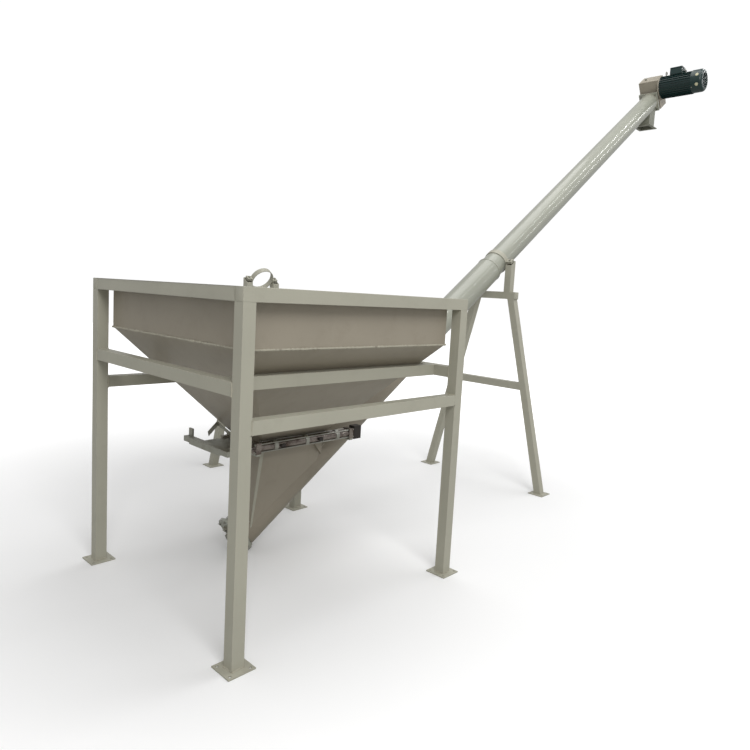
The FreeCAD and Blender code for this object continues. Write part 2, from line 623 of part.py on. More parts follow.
def gearbox():
    parts = {}
    ax = V(1, 0, 0)
    u0 = GEARBOX_U - BOX_L / 2
    u1 = GEARBOX_U + BOX_L / 2
    y1 = BOX_W / 2
    z0 = -BOX_DOWN
    z1 = BOX_H - BOX_DOWN
    w = BOX_WALL
    shell = box(u0, u1, GEAR_Y0, y1, z0, z1)
    shell = shell.cut(box(u0 + w, u1, GEAR_Y0 + w, y1 - w, z0 + w, z1 - w))
    shell = shell.cut(cyl(STUB_R + 4, V(u0, 0, 0), ax, w))
    shell = shell.cut(cyl(WORM_R + 8, V(GEARBOX_U, GEAR_Y0, CENTRES), V(0, 1, 0), w))
    parts["gearbox_housing"] = on_axis(shell)
    cover = box(u1, u1 + GEAR_COVER_T, GEAR_Y0, y1, z0, z1)
    cover = cover.cut(cyl(STUB_R + 4, V(u1, 0, 0), ax, GEAR_COVER_T))
    bolts = []
    for sy in (-1, 1):
        for z in (z0 + GEAR_BOLT_IN, z1 - GEAR_BOLT_IN):
            head = V(u1 + GEAR_COVER_T, sy * (y1 - GEAR_BOLT_IN), z)
            bolts.append(hexagon(GEAR_BOLT_ACROSS, head, ax, GEAR_BOLT_H))
    parts["gearbox_cover"] = on_axis(cover)
    parts["gearbox_cover_bolts"] = on_axis(compound(bolts))
    wheel = Part.Face(polygon(gear_outline(WHEEL_R, TEETH, 4.0))).extrude(V(WHEEL_W, 0, 0))
    wheel.translate(V(GEARBOX_U - WHEEL_W / 2, 0, 0))
    hub = cyl(HOLLOW_R, V(u0 + w + 2, 0, 0), ax, BOX_L - w - 4)
    wheel = wheel.fuse(hub).cut(cyl(STUB_R, V(u0, 0, 0), ax, BOX_L + 20))
    parts["worm_wheel"] = on_axis(wheel)
    start = V(GEARBOX_U, y1 - w - 2, CENTRES)
    back = V(0, -1, 0)
    worm = cyl(WORM_R - 5, start, back, BOX_W - w + MOTOR_FLANGE_T - 12)
    thread = [cyl(WORM_R, V(GEARBOX_U, 42 - 12 * k, CENTRES), back, 6) for k in range(8)]
    for ring in thread:
        worm = worm.fuse(ring)
    parts["worm_shaft"] = on_axis(worm)
    return parts


def motor():
    parts = {}
    back = V(0, -1, 0)
    at = V(GEARBOX_U, 0, CENTRES)
    y0 = MOTOR_Y0 + MOTOR_FLANGE_T
    ring = cyl(MOTOR_FLANGE_R, at + V(0, y0, 0), back, MOTOR_FLANGE_T)
    ring = ring.cut(cyl(WORM_R + 8, at + V(0, y0, 0), back, MOTOR_FLANGE_T))
    shell = cyl(MOTOR_R, at + V(0, MOTOR_Y0, 0), back, MOTOR_L)
    shell = shell.cut(cyl(MOTOR_BORE, at + V(0, MOTOR_Y0, 0), back, MOTOR_L - MOTOR_END_T))
    shell = shell.cut(cyl(MOTOR_SHAFT_R + RUN_FIT, at + V(0, MOTOR_Y1 + MOTOR_END_T, 0), back, MOTOR_END_T))
    parts["motor_flange"] = on_axis(ring)
    parts["motor_shell"] = on_axis(shell)
    rotor = cyl(ROTOR_R, at + V(0, MOTOR_Y0 - ROTOR_OFF, 0), back, MOTOR_L - ROTOR_SPARE)
    joint_y = BOX_W / 2 - BOX_WALL - 2 - (BOX_W - BOX_WALL + MOTOR_FLANGE_T - 12)
    rotor = rotor.fuse(cyl(MOTOR_SHAFT_R, at + V(0, joint_y, 0), back, joint_y - MOTOR_Y1 + 60))
    parts["motor_rotor"] = on_axis(rotor)
    fan = cyl(FAN_R, at + V(0, MOTOR_Y1 - FAN_OFF, 0), back, FAN_T)
    fan = fan.cut(cyl(MOTOR_SHAFT_R, at + V(0, MOTOR_Y1 - FAN_OFF, 0), back, FAN_T))
    parts["motor_fan"] = on_axis(fan)
    cover = cyl(COVER_R, at + V(0, MOTOR_Y1 + COVER_LAP, 0), back, COVER_L)
    cover = cover.cut(cyl(COVER_R - COVER_T, at + V(0, MOTOR_Y1 + COVER_LAP, 0), back, COVER_L - COVER_T))
    lip = pipe(COVER_R - COVER_T, MOTOR_R, at + V(0, MOTOR_Y1 + COVER_LAP, 0), back, COVER_LIP)
    parts["fan_cover"] = on_axis(cover.fuse(lip))
    return parts


def motor_top():
    """Terminal box and lifting eye stand upright on the motor, square to the floor."""
    centre = axis_point(GEARBOX_U) + TILT.multVec(V(0, 0, CENTRES))
    y0 = AUGER_Y + MOTOR_Y0 - TBOX_OFF
    z0 = centre.z + MOTOR_R - TBOX_SINK
    body = box(centre.x - TBOX_X / 2, centre.x + TBOX_X / 2, y0 - TBOX_Y, y0, z0, z0 + TBOX_H)
    seat = cyl(MOTOR_R + SEAT_FIT, V(centre.x, AUGER_Y + MOTOR_Y0, centre.z), V(0, -1, 0), MOTOR_L)
    body = body.cut(seat)
    body = body.fuse(cyl(GLAND_R, V(centre.x, y0 - TBOX_Y, z0 + TBOX_H / 2), V(0, -1, 0), GLAND_L))
    eye_y = AUGER_Y + MOTOR_Y0 - EYE_OFF
    eye_z = centre.z + MOTOR_R
    stem = cyl(EYE_BAR_R * 1.6, V(centre.x, eye_y, eye_z - 10), V(0, 0, 1), 18)
    ring = Part.makeTorus(EYE_R, EYE_BAR_R, V(centre.x, eye_y, eye_z + 6 + EYE_R + EYE_BAR_R), V(0, 1, 0))
    return {"terminal_box": body, "lifting_eye": stem.fuse(ring).cut(seat)}


def leaning_leg(foot_x, foot_y, top_x, top_y, top_z):
    """Square tube from its foot plate to the underside of a beam, cut level at both ends."""
    h = BAR / 2

    def ring(x, y, z, r):
        return [V(x - r, y - r, z), V(x + r, y - r, z), V(x + r, y + r, z), V(x - r, y + r, z)]

    outer = loft(ring(foot_x, foot_y, PLATE_T, h), ring(top_x, top_y, top_z, h))
    inner = loft(ring(foot_x, foot_y, PLATE_T, h - WALL), ring(top_x, top_y, top_z, h - WALL))
    return outer.cut(inner).fuse(foot_plate(foot_x, foot_y))


def stand_parts(prefix, x, y, along, foot, shoulder, top, tie_top, post_top):
    """Two leaning legs, top beam, tie bar and two short posts, in a plane along X or Y."""
    dx, dy = (1, 0) if along == "x" else (0, 1)
    parts = {}
    beam_z = top - BAR
    legs = []
    for side in (-1, 1):
        low_x = x + side * foot * dx
        low_y = y + side * foot * dy
        legs.append(leaning_leg(low_x, low_y, x + side * shoulder * dx, y + side * shoulder * dy, beam_z))
    parts[prefix + "_legs"] = compound(legs)
    half = STAND_BEAM / 2
    if dy:
        beam = hollow(x - BAR / 2, x + BAR / 2, y - half, y + half, beam_z, top, "y")
    else:
        beam = hollow(x - half, x + half, y - BAR / 2, y + BAR / 2, beam_z, top, "x")
    posts = []
    for side in (-1, 1):
        px = x + side * POST_OFF * dx
        py = y + side * POST_OFF * dy
        posts.append(hollow(px - BAR / 2, px + BAR / 2, py - BAR / 2, py + BAR / 2, top, post_top, "z"))
    parts[prefix + "_beam"] = beam
    parts[prefix + "_posts"] = compound(posts)

    def inner_face(z):
        share = (z - PLATE_T) / (beam_z - PLATE_T)
        return foot + (shoulder - foot) * share - BAR / 2

    tie_bot = tie_top - BAR
    b = BAR / 2
    low = inner_face(tie_bot)
    high = inner_face(tie_top)

    ends = [(-low, tie_bot), (low, tie_bot), (high, tie_top), (-high, tie_top)]

    if dy:
        outline = Part.Face(polygon([V(x - b, y + s, z) for s, z in ends]))
        bar = outline.extrude(V(2 * b, 0, 0))
        core = box(x - b + WALL, x + b - WALL, y - foot, y + foot, tie_bot + WALL, tie_top - WALL)
    else:
        outline = Part.Face(polygon([V(x + s, y - b, z) for s, z in ends]))
        bar = outline.extrude(V(0, 2 * b, 0))
        core = box(x - foot, x + foot, y - b + WALL, y + b - WALL, tie_bot + WALL, tie_top - WALL)
    parts[prefix + "_tie"] = bar.cut(core)
    return parts


def clamp_pair(radius, length):
    """Saddle half and strap half around the tube, with ears on both sides; X is the tube's axis."""
    ax = V(1, 0, 0)
    r1 = radius + CLAMP_T
    x0 = -length / 2
    ring = pipe(r1, radius, V(x0, 0, 0), ax, length)
    gap = CLAMP_GAP
    halves = []
    for side in (-1, 1):
        keep = box(x0, -x0, -2 * r1, 2 * r1, gap if side > 0 else -2 * r1, 2 * r1 if side > 0 else -gap)
        half = ring.common(keep)
        z0 = gap if side > 0 else -gap - EAR_T
        for s in (-1, 1):
            y0 = radius + 1.0 if s > 0 else -radius - 1.0 - EAR
            ear = box(x0, -x0, y0, y0 + EAR, z0, z0 + EAR_T).cut(cyl(radius + 0.5, V(x0, 0, 0), ax, length))
            half = half.fuse(ear)
        halves.append(half)
    bolts = []
    for s in (-1, 1):
        base = V(0, s * (r1 + EAR * 0.55), -gap - EAR_T)
        one = bolt(EAR_BOLT_R, base, V(0, 0, 1), 2 * gap + 2 * EAR_T)
        halves = [h.cut(one) for h in halves]
        bolts.append(one)
    return halves[0], halves[1], bolts


def stand():
    mid = axis_point(STAND_U)
    saddle, strap, bolts = clamp_pair(HIGH_R + SEAT_FIT, CLAMP_L)
    place = FreeCAD.Placement(V(STAND_U, 0, 0), FreeCAD.Rotation())
    pieces = []
    for shape in (saddle, strap, compound(bolts)):
        moved = shape.copy()
        moved.Placement = place
        pieces.append(on_axis(moved))
    ear_drop = EAR_T + CLAMP_GAP
    post_top = mid.z + ear_drop + 40.0
    parts = stand_parts("stand", mid.x, mid.y, "y", STAND_FOOT, STAND_SHOULDER, STAND_TOP,
                        STAND_TIE_TOP, post_top)
    tool = on_axis(box(STAND_U - 200, STAND_U + 200, -400, 400, -ear_drop, 400))
    parts["stand_posts"] = compound([s.cut(tool) for s in parts["stand_posts"].Solids])
    parts["stand_posts"] = compound([s.cut(pieces[2]) for s in parts["stand_posts"].Solids])
    parts["stand_saddle"] = pieces[0]
    parts["stand_strap"] = pieces[1]
    parts["m12_bolts"] = pieces[2]
    return parts


def spare_stand():
    saddle, strap, bolts = clamp_pair(HIGH_R + SEAT_FIT, CLAMP_L)
    lean = FreeCAD.Rotation(V(0, 0, 1), 90).multiply(TILT)
    place = FreeCAD.Placement(V(SPARE_X, SPARE_Y, SPARE_CLAMP_Z), lean)
    pieces = []
    for shape in (saddle, strap, compound(bolts)):
        moved = shape.copy()
        moved.Placement = place
        pieces.append(moved)
    parts = stand_parts("spare", SPARE_X, SPARE_Y, "x", SPARE_FOOT, SPARE_SHOULDER, SPARE_TOP,
                        STAND_TIE_TOP - 120.0, SPARE_CLAMP_Z + 50.0)
    tool = box(-200, 200, -400, 400, -EAR_T - CLAMP_GAP, 400)
    tool.Placement = place
    parts["spare_posts"] = compound([s.cut(tool).cut(pieces[2]) for s in parts["spare_posts"].Solids])
    frame = []
    for key in ("spare_legs", "spare_beam", "spare_posts", "spare_tie"):
        frame += parts.pop(key).Solids
    parts["spare_frame"] = compound(frame)
    parts["spare_clamp"] = compound([pieces[0], pieces[1]])
    parts["m12_bolts"] = pieces[2]
    return parts


def all_parts():
    parts = {}
    for group in (hopper_frame, hopper, gate, cylinder, auger_tubes, tail_end, screw, head_end, gearbox,
                  motor, motor_top, stand, spare_stand):
        for name, shape in group().items():
            parts[name] = compound(parts[name].Solids + shape.Solids) if name in parts else shape
    return parts


def main():
    os.makedirs("parts", exist_ok=True)
    parts = all_parts()
    for name, shape in parts.items():
        solids = shape.Solids
        print("%-24s %2d solids, %12.0f mm3, valid %s" % (name, len(solids), shape.Volume, shape.isValid()))
        shape.exportStep("parts/%s.step" % name)
    print("nodes", len(parts))


main()
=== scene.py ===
import json
import math

import bmesh
import bpy
import numpy as np
from mathutils import Matrix, Vector


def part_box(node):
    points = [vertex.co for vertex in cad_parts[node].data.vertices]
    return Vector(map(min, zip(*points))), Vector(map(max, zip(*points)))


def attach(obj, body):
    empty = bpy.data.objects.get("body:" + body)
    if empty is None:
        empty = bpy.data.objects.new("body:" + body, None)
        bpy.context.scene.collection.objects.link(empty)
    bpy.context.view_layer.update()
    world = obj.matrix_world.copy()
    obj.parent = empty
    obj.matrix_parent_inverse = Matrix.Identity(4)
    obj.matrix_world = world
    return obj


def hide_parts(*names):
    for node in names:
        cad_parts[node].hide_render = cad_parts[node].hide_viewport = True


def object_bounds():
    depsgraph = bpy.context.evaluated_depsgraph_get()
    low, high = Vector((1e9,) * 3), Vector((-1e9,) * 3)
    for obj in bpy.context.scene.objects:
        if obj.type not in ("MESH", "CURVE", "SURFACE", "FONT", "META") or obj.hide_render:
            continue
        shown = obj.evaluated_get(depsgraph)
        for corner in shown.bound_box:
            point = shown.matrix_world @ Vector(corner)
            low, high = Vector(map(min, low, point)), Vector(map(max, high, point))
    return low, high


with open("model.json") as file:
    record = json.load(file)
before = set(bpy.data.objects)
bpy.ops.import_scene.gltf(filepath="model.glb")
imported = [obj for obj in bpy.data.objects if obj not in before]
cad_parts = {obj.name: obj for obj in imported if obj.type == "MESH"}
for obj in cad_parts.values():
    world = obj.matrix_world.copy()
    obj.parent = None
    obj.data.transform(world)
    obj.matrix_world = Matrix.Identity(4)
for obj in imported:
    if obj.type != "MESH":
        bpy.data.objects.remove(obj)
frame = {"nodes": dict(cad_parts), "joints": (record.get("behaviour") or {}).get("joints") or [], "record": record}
cadLow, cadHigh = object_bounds()
print("stage: frame loaded,", len(frame["nodes"]), "nodes")


def gridMesh(name, points, closeU=False, closeV=False, caps=True):
    # a grid of points, rows by columns, joined into quads with their normals outwards
    # each open end of a closed column ring gets a cap
    rows, cols = points.shape[:2]
    verts = points.reshape(-1, 3)
    i = np.arange(rows if closeU else rows - 1)
    j = np.arange(cols if closeV else cols - 1)
    ii, jj = np.meshgrid(i, j, indexing="ij")
    a = ii * cols + jj
    b = ii * cols + (jj + 1) % cols
    c = ((ii + 1) % rows) * cols + (jj + 1) % cols
    d = ((ii + 1) % rows) * cols + jj
    faces = np.stack([a, b, c, d], -1).reshape(-1, 4).tolist()
    if caps and closeV and not closeU:
        faces.append(list(range(cols))[::-1])
        faces.append(list(range((rows - 1) * cols, rows * cols)))
    mesh = bpy.data.meshes.new(name)
    mesh.from_pydata(verts.tolist(), [], faces)
    work = bmesh.new()
    work.from_mesh(mesh)
    bmesh.ops.recalc_face_normals(work, faces=work.faces)
    work.to_mesh(mesh)
    work.free()
    piece = bpy.data.objects.new(name, mesh)
    bpy.context.collection.objects.link(piece)
    return piece


def joinPieces(name, parts):
    # one object from several
    bpy.ops.object.select_all(action="DESELECT")
    for part in parts:
        part.select_set(True)
    bpy.context.view_layer.objects.active = parts[0]
    bpy.ops.object.join()
    piece = bpy.context.view_layer.objects.active
    piece.name = name
    return piece


def unit(vector):
    vector = np.array(vector, float)
    return vector / np.linalg.norm(vector)


def frameOf(direction):
    # a unit vector along a direction and two more square to it
    along = unit(direction)
    helper = np.array([0.0, 0.0, 1.0]) if abs(along[2]) < 0.9 else np.array([1.0, 0.0, 0.0])
    side = unit(np.cross(helper, along))
    return along, side, np.cross(along, side)


def circle(side, up, sides):
    # unit vectors evenly spaced round a circle
    angle = np.linspace(0.0, 2.0 * math.pi, sides, endpoint=False)
    return np.cos(angle)[:, None] * side + np.sin(angle)[:, None] * up


def turned(name, start, direction, profile, sides=48):
    # a profile of (distance along, radius) pairs spun about an axis, closed by a cap at both ends
    along, side, up = frameOf(direction)
    prof = np.array(profile, float)
    ring = circle(side, up, sides)
    points = np.array(start) + prof[:, 0, None, None] * along + prof[:, 1, None, None] * ring
    return gridMesh(name, points, closeV=True)


def lathedRing(name, centre, direction, outline, sides=64):
    # a closed outline of (distance along, radius) pairs carried round an axis
    along, side, up = frameOf(direction)
    prof = np.array(outline, float)
    ring = circle(side, up, sides)
    points = np.array(centre) + prof[None, :, 0, None] * along + prof[None, :, 1, None] * ring[:, None, :]
    return gridMesh(name, points, closeU=True, closeV=True)


def bead(name, start, end, radius, wobble, seed, sides=8, step=0.006):
    # a weld bead: a tube whose radius follows overlapping ripples along the seam
    start, end = np.array(start, float), np.array(end, float)
    _, side, up = frameOf(end - start)
    length = np.linalg.norm(end - start)
    count = max(4, int(length / step))
    t = np.linspace(0.0, 1.0, count)
    rng = np.random.default_rng(seed)
    noise = rng.normal(0.0, 1.0, count)
    ripple = radius * (1.0 + 0.22 * np.sin(t * length / 0.004) + wobble * noise)
    drift = np.convolve(rng.normal(0.0, 1.0, count + 8), np.ones(9) / 9, "valid")[:count] * radius * 1.6
    centre = start + t[:, None] * (end - start) + drift[:, None] * side
    points = centre[:, None, :] + ripple[:, None, None] * circle(side, up, sides)
    return gridMesh(name, points, closeV=True)


def slab(name, centre, axis, up, halfWide, halfHigh, thick, corner, edge):
    # a rounded rectangle carried along its axis and drawn in by a quarter round at both ends
    along = unit(axis)
    side = unit(np.cross(np.array(up, float), along))
    rise = np.cross(along, side)
    t = (np.arange(32) + 0.5) / 32 * 2.0 * math.pi
    half = edge * 0.29  # halfway round the quarter
    inset = np.array([edge, half, 0.0, 0.0, half, edge])
    level = np.array([0.0, half, edge, thick - edge, thick - half, thick])
    wide = np.sign(np.cos(t)) * (halfWide - corner) + (corner - inset[:, None]) * np.cos(t)
    high = np.sign(np.sin(t)) * (halfHigh - corner) + (corner - inset[:, None]) * np.sin(t)
    points = (np.array(centre, float) + level[:, None, None] * along + wide[:, :, None] * side
              + high[:, :, None] * rise)
    return gridMesh(name, points, closeV=True)


def hexHead(base, axis, across, height, washer=1.25):
    # a washer and a six-sided head with a slightly domed top
    r = across / math.sqrt(3.0)
    return [turned("washer", base, axis, [(0.0, r * washer), (0.0020, r * washer), (0.0020, 0.0005)], 28),
            turned("head", np.array(base) + unit(axis) * 0.0019, axis,
                   [(0.0, r), (height * 0.85, r), (height, r * 0.86), (height, 0.0005)], 6)]


def softened(node, name, width, segments=2):
    # a merged copy of a CAD node with its sharp edges rounded, standing for that node
    source = frame["nodes"][node]
    mesh = source.data.copy()
    work = bmesh.new()
    work.from_mesh(mesh)
    bmesh.ops.remove_doubles(work, verts=work.verts, dist=0.00002)
    bmesh.ops.dissolve_limit(work, angle_limit=math.radians(1.0), verts=work.verts, edges=work.edges)
    work.to_mesh(mesh)
    work.free()
    piece = bpy.data.objects.new(name, mesh)
    bpy.context.collection.objects.link(piece)
    mod = piece.modifiers.new("round", "BEVEL")
    mod.width = width
    mod.segments = segments
    mod.limit_method = "ANGLE"
    mod.angle_limit = math.radians(40)
    sub = nodeInfo[node]
    place(piece, sub["body"], sub["slot"])
    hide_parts(node)
    return piece


def smooth(piece):
    piece.data.shade_smooth()
    mod = piece.modifiers.new("sharp", "EDGE_SPLIT")
    mod.split_angle = math.radians(32)
    return piece


def newGroup(name, inputs, outputs):
    group = bpy.data.node_groups.new(name, "ShaderNodeTree")
    for label, kind, value in inputs:
        socket = group.interface.new_socket(name=label, in_out="INPUT", socket_type=kind)
        if value is not None:
            socket.default_value = value
    for label, kind in outputs:
        group.interface.new_socket(name=label, in_out="OUTPUT", socket_type=kind)
    return group, group.nodes.new("NodeGroupInput"), group.nodes.new("NodeGroupOutput")


def mixNode(nodes, links, kind, factor, a, b):
    mix = nodes.new("ShaderNodeMix")
    mix.data_type = "RGBA"
    mix.blend_type = kind
    for socket, value in ((mix.inputs[0], factor), (mix.inputs[6], a), (mix.inputs[7], b)):
        if isinstance(value, bpy.types.NodeSocket):
            links.new(value, socket)
        else:
            socket.default_value = value
    return mix.outputs[2]


def makePaintGroup():
    # mottled coat: colour drift, fine orange peel and scattered grime
    group, gin, gout = newGroup("paintCoat", [
        ("Vector", "NodeSocketVector", None), ("Base", "NodeSocketColor", (0.5, 0.5, 0.5, 1.0)),
        ("Grime", "NodeSocketColor", (0.2, 0.18, 0.14, 1.0)), ("Grime Amount", "NodeSocketFloat", 0.2),
        ("Mottle", "NodeSocketFloat", 0.1), ("Peel Scale", "NodeSocketFloat", 260.0),
        ("Gloss", "NodeSocketFloat", 0.4)],
        [("Color", "NodeSocketColor"), ("Roughness", "NodeSocketFloat"), ("Height", "NodeSocketFloat")])
    nodes, links = group.nodes, group.links
    drift = nodes.new("ShaderNodeTexNoise")
    drift.inputs["Scale"].default_value = 3.1
    drift.inputs["Detail"].default_value = 5.0
    peel = nodes.new("ShaderNodeTexNoise")
    peel.inputs["Detail"].default_value = 2.0
    dirt = nodes.new("ShaderNodeTexNoise")
    dirt.inputs["Scale"].default_value = 9.0
    dirt.inputs["Detail"].default_value = 8.0
    dirt.inputs["Roughness"].default_value = 0.68
    for tex in (drift, peel, dirt):
        links.new(gin.outputs["Vector"], tex.inputs["Vector"])
    links.new(gin.outputs["Peel Scale"], peel.inputs["Scale"])
    spread = nodes.new("ShaderNodeMapRange")
    spread.inputs["From Min"].default_value = 0.30
    spread.inputs["From Max"].default_value = 0.70
    spread.inputs["To Min"].default_value = -1.0
    links.new(drift.outputs["Fac"], spread.inputs["Value"])
    amount = nodes.new("ShaderNodeMath")
    amount.operation = "MULTIPLY_ADD"
    links.new(spread.outputs["Result"], amount.inputs[0])
    links.new(gin.outputs["Mottle"], amount.inputs[1])
    amount.inputs[2].default_value = 1.0
    shade = nodes.new("ShaderNodeVectorMath")
    shade.operation = "SCALE"
    links.new(gin.outputs["Base"], shade.inputs[0])
    links.new(amount.outputs[0], shade.inputs["Scale"])
    spots = nodes.new("ShaderNodeMapRange")
    spots.inputs["From Min"].default_value = 0.52
    spots.inputs["From Max"].default_value = 0.78
    links.new(dirt.outputs["Fac"], spots.inputs["Value"])
    mask = nodes.new("ShaderNodeMath")
    mask.operation = "MULTIPLY"
    links.new(spots.outputs["Result"], mask.inputs[0])
    links.new(gin.outputs["Grime Amount"], mask.inputs[1])
    color = mixNode(nodes, links, "MIX", mask.outputs[0], shade.outputs[0], gin.outputs["Grime"])
    links.new(color, gout.inputs["Color"])
    rough = nodes.new("ShaderNodeMath")
    rough.operation = "MULTIPLY_ADD"
    links.new(dirt.outputs["Fac"], rough.inputs[0])
    rough.inputs[1].default_value = 0.22
    links.new(gin.outputs["Gloss"], rough.inputs[2])
    links.new(rough.outputs[0], gout.inputs["Roughness"])
    links.new(peel.outputs["Fac"], gout.inputs["Height"])
    return group


def makeMetalGroup():
    # drawn metal: long fine scratches along one direction and a soft stain
    group, gin, gout = newGroup("drawnMetal", [
        ("Vector", "NodeSocketVector", None), ("Base", "NodeSocketColor", (0.6, 0.6, 0.6, 1.0)),
        ("Stain", "NodeSocketColor", (0.3, 0.24, 0.18, 1.0)), ("Stain Amount", "NodeSocketFloat", 0.2),
        ("Gloss", "NodeSocketFloat", 0.25)],
        [("Color", "NodeSocketColor"), ("Roughness", "NodeSocketFloat"), ("Height", "NodeSocketFloat")])
    nodes, links = group.nodes, group.links
    stretch = nodes.new("ShaderNodeMapping")
    stretch.inputs["Scale"].default_value = (4.0, 420.0, 420.0)
    links.new(gin.outputs["Vector"], stretch.inputs["Vector"])
    scratch = nodes.new("ShaderNodeTexNoise")
    scratch.inputs["Scale"].default_value = 2.0
    scratch.inputs["Detail"].default_value = 4.0
    links.new(stretch.outputs[0], scratch.inputs["Vector"])
    stain = nodes.new("ShaderNodeTexNoise")
    stain.inputs["Scale"].default_value = 22.0
    stain.inputs["Detail"].default_value = 6.0
    links.new(gin.outputs["Vector"], stain.inputs["Vector"])
    mask = nodes.new("ShaderNodeMapRange")
    mask.inputs["From Min"].default_value = 0.48
    mask.inputs["From Max"].default_value = 0.72
    links.new(stain.outputs["Fac"], mask.inputs["Value"])
    weight = nodes.new("ShaderNodeMath")
    weight.operation = "MULTIPLY"
    links.new(mask.outputs["Result"], weight.inputs[0])
    links.new(gin.outputs["Stain Amount"], weight.inputs[1])
    links.new(mixNode(nodes, links, "MIX", weight.outputs[0], gin.outputs["Base"], gin.outputs["Stain"]),
              gout.inputs["Color"])
    rough = nodes.new("ShaderNodeMath")
    rough.operation = "MULTIPLY_ADD"
    links.new(scratch.outputs["Fac"], rough.inputs[0])
    rough.inputs[1].default_value = 0.28
    links.new(gin.outputs["Gloss"], rough.inputs[2])
    links.new(rough.outputs[0], gout.inputs["Roughness"])
    links.new(scratch.outputs["Fac"], gout.inputs["Height"])
    return group


paintGroup = makePaintGroup()
metalGroup = makeMetalGroup()


def coatMaterial(name, group, values, metallic=0.0, bump=0.05, coat=0.0):
    mat = bpy.data.materials.new(name)
    mat.use_nodes = True
    nodes, links = mat.node_tree.nodes, mat.node_tree.links
    shader = nodes["Principled BSDF"]
    shader.inputs["Metallic"].default_value = metallic
    shader.inputs["Coat Weight"].default_value = coat
    shader.inputs["Coat Roughness"].default_value = 0.08
    coords = nodes.new("ShaderNodeTexCoord")
    effect = nodes.new("ShaderNodeGroup")
    effect.node_tree = group
    for label, value in values.items():
        effect.inputs[label].default_value = value
    links.new(coords.outputs["Object"], effect.inputs["Vector"])
    links.new(effect.outputs["Color"], shader.inputs["Base Color"])
    links.new(effect.outputs["Roughness"], shader.inputs["Roughness"])
    relief = nodes.new("ShaderNodeBump")
    relief.inputs["Strength"].default_value = bump
    relief.inputs["Distance"].default_value = 0.001
    links.new(effect.outputs["Height"], relief.inputs["Height"])
    links.new(relief.outputs[0], shader.inputs["Normal"])
    return mat


def rgb(r, g, b):
    # screen colour from 0 to 255 to linear light
    c = np.array([r, g, b]) / 255.0
    lin = np.where(c <= 0.04045, c / 12.92, ((c + 0.055) / 1.055) ** 2.4)
    return (*lin.tolist(), 1.0)


finish = {
    "frame_paint": coatMaterial("framePaint", paintGroup, {
        "Base": rgb(170, 168, 153), "Grime": rgb(128, 122, 106), "Grime Amount": 0.16, "Mottle": 0.035,
        "Gloss": 0.34}, coat=0.12),
    "hopper_paint": coatMaterial("hopperPaint", paintGroup, {
        "Base": rgb(152, 144, 129), "Grime": rgb(112, 104, 90), "Grime Amount": 0.18, "Mottle": 0.04,
        "Gloss": 0.36}, bump=0.07, coat=0.10),
    "tube_paint": coatMaterial("tubePaint", paintGroup, {
        "Base": rgb(156, 158, 145), "Grime": rgb(140, 136, 120), "Grime Amount": 0.16, "Mottle": 0.04,
        "Gloss": 0.26}, bump=0.003, coat=0.60),
    # painted shade: the tube's paint made darker for the discharge spout
    "spoutShadedPaint": coatMaterial("spoutShadedPaint", paintGroup, {
        "Base": rgb(130, 131, 118), "Grime": rgb(112, 108, 94), "Grime Amount": 0.2, "Mottle": 0.04,
        "Gloss": 0.34}, bump=0.05, coat=0.10),
    "gearbox_paint": coatMaterial("gearboxPaint", paintGroup, {
        "Base": rgb(156, 149, 134), "Grime": rgb(96, 86, 72), "Grime Amount": 0.42, "Mottle": 0.10,
        "Peel Scale": 120.0, "Gloss": 0.40}, bump=0.25),
    "motor_green": coatMaterial("motorGreen", paintGroup, {
        "Base": rgb(8, 42, 40), "Grime": rgb(8, 18, 20), "Grime Amount": 0.40, "Mottle": 0.12,
        "Gloss": 0.26}, bump=0.10, coat=0.18),
    "black_plastic": coatMaterial("blackPlastic", paintGroup, {
        "Base": rgb(44, 38, 34), "Grime": rgb(74, 66, 56), "Grime Amount": 0.24, "Mottle": 0.10,
        "Peel Scale": 900.0, "Gloss": 0.38}, bump=0.12),
    "plain_steel": coatMaterial("plainSteel", metalGroup, {
        "Base": rgb(168, 168, 158), "Stain": rgb(112, 98, 80), "Stain Amount": 0.35, "Gloss": 0.30},
        metallic=0.6),
    "zinc_steel": coatMaterial("zincSteel", metalGroup, {
        "Base": rgb(168, 168, 160), "Stain": rgb(128, 118, 98), "Stain Amount": 0.25, "Gloss": 0.24},
        metallic=0.95),
    "cylinder_alloy": coatMaterial("cylinderAlloy", metalGroup, {
        "Base": rgb(142, 134, 128), "Stain": rgb(66, 46, 40), "Stain Amount": 0.85, "Gloss": 0.10},
        metallic=0.95),
    "rod_chrome": coatMaterial("rodChrome", metalGroup, {
        "Base": rgb(220, 220, 220), "Stain": rgb(150, 140, 130), "Stain Amount": 0.12, "Gloss": 0.04},
        metallic=1.0, bump=0.01),
    "wheel_bronze": coatMaterial("wheelBronze", metalGroup, {
        "Base": rgb(176, 140, 84), "Stain": rgb(92, 66, 38), "Stain Amount": 0.30, "Gloss": 0.26},
        metallic=0.95),
    "castBearing": coatMaterial("castBearing", paintGroup, {
        "Base": rgb(128, 124, 110), "Grime": rgb(70, 62, 52), "Grime Amount": 0.6, "Mottle": 0.10,
        "Peel Scale": 160.0, "Gloss": 0.36}, bump=0.25),
    "palePlug": coatMaterial("palePlug", paintGroup, {
        "Base": rgb(196, 192, 160), "Grime": rgb(150, 140, 108), "Grime Amount": 0.3, "Mottle": 0.06,
        "Gloss": 0.30}),
    # the trough's taupe, darker than the hopper's paint: partly its own colour, partly painted shade where the
    # tube lies under the hopper
    "trough_shade_paint": coatMaterial("troughShadePaint", paintGroup, {
        "Base": rgb(144, 136, 121), "Grime": rgb(104, 96, 82), "Grime Amount": 0.20, "Mottle": 0.04,
        "Gloss": 0.38}, bump=0.06, coat=0.08),
    "weld": coatMaterial("weldBead", paintGroup, {
        "Base": rgb(170, 166, 150), "Grime": rgb(108, 100, 84), "Grime Amount": 0.55, "Mottle": 0.12,
        "Peel Scale": 500.0, "Gloss": 0.34}, bump=0.30),
}

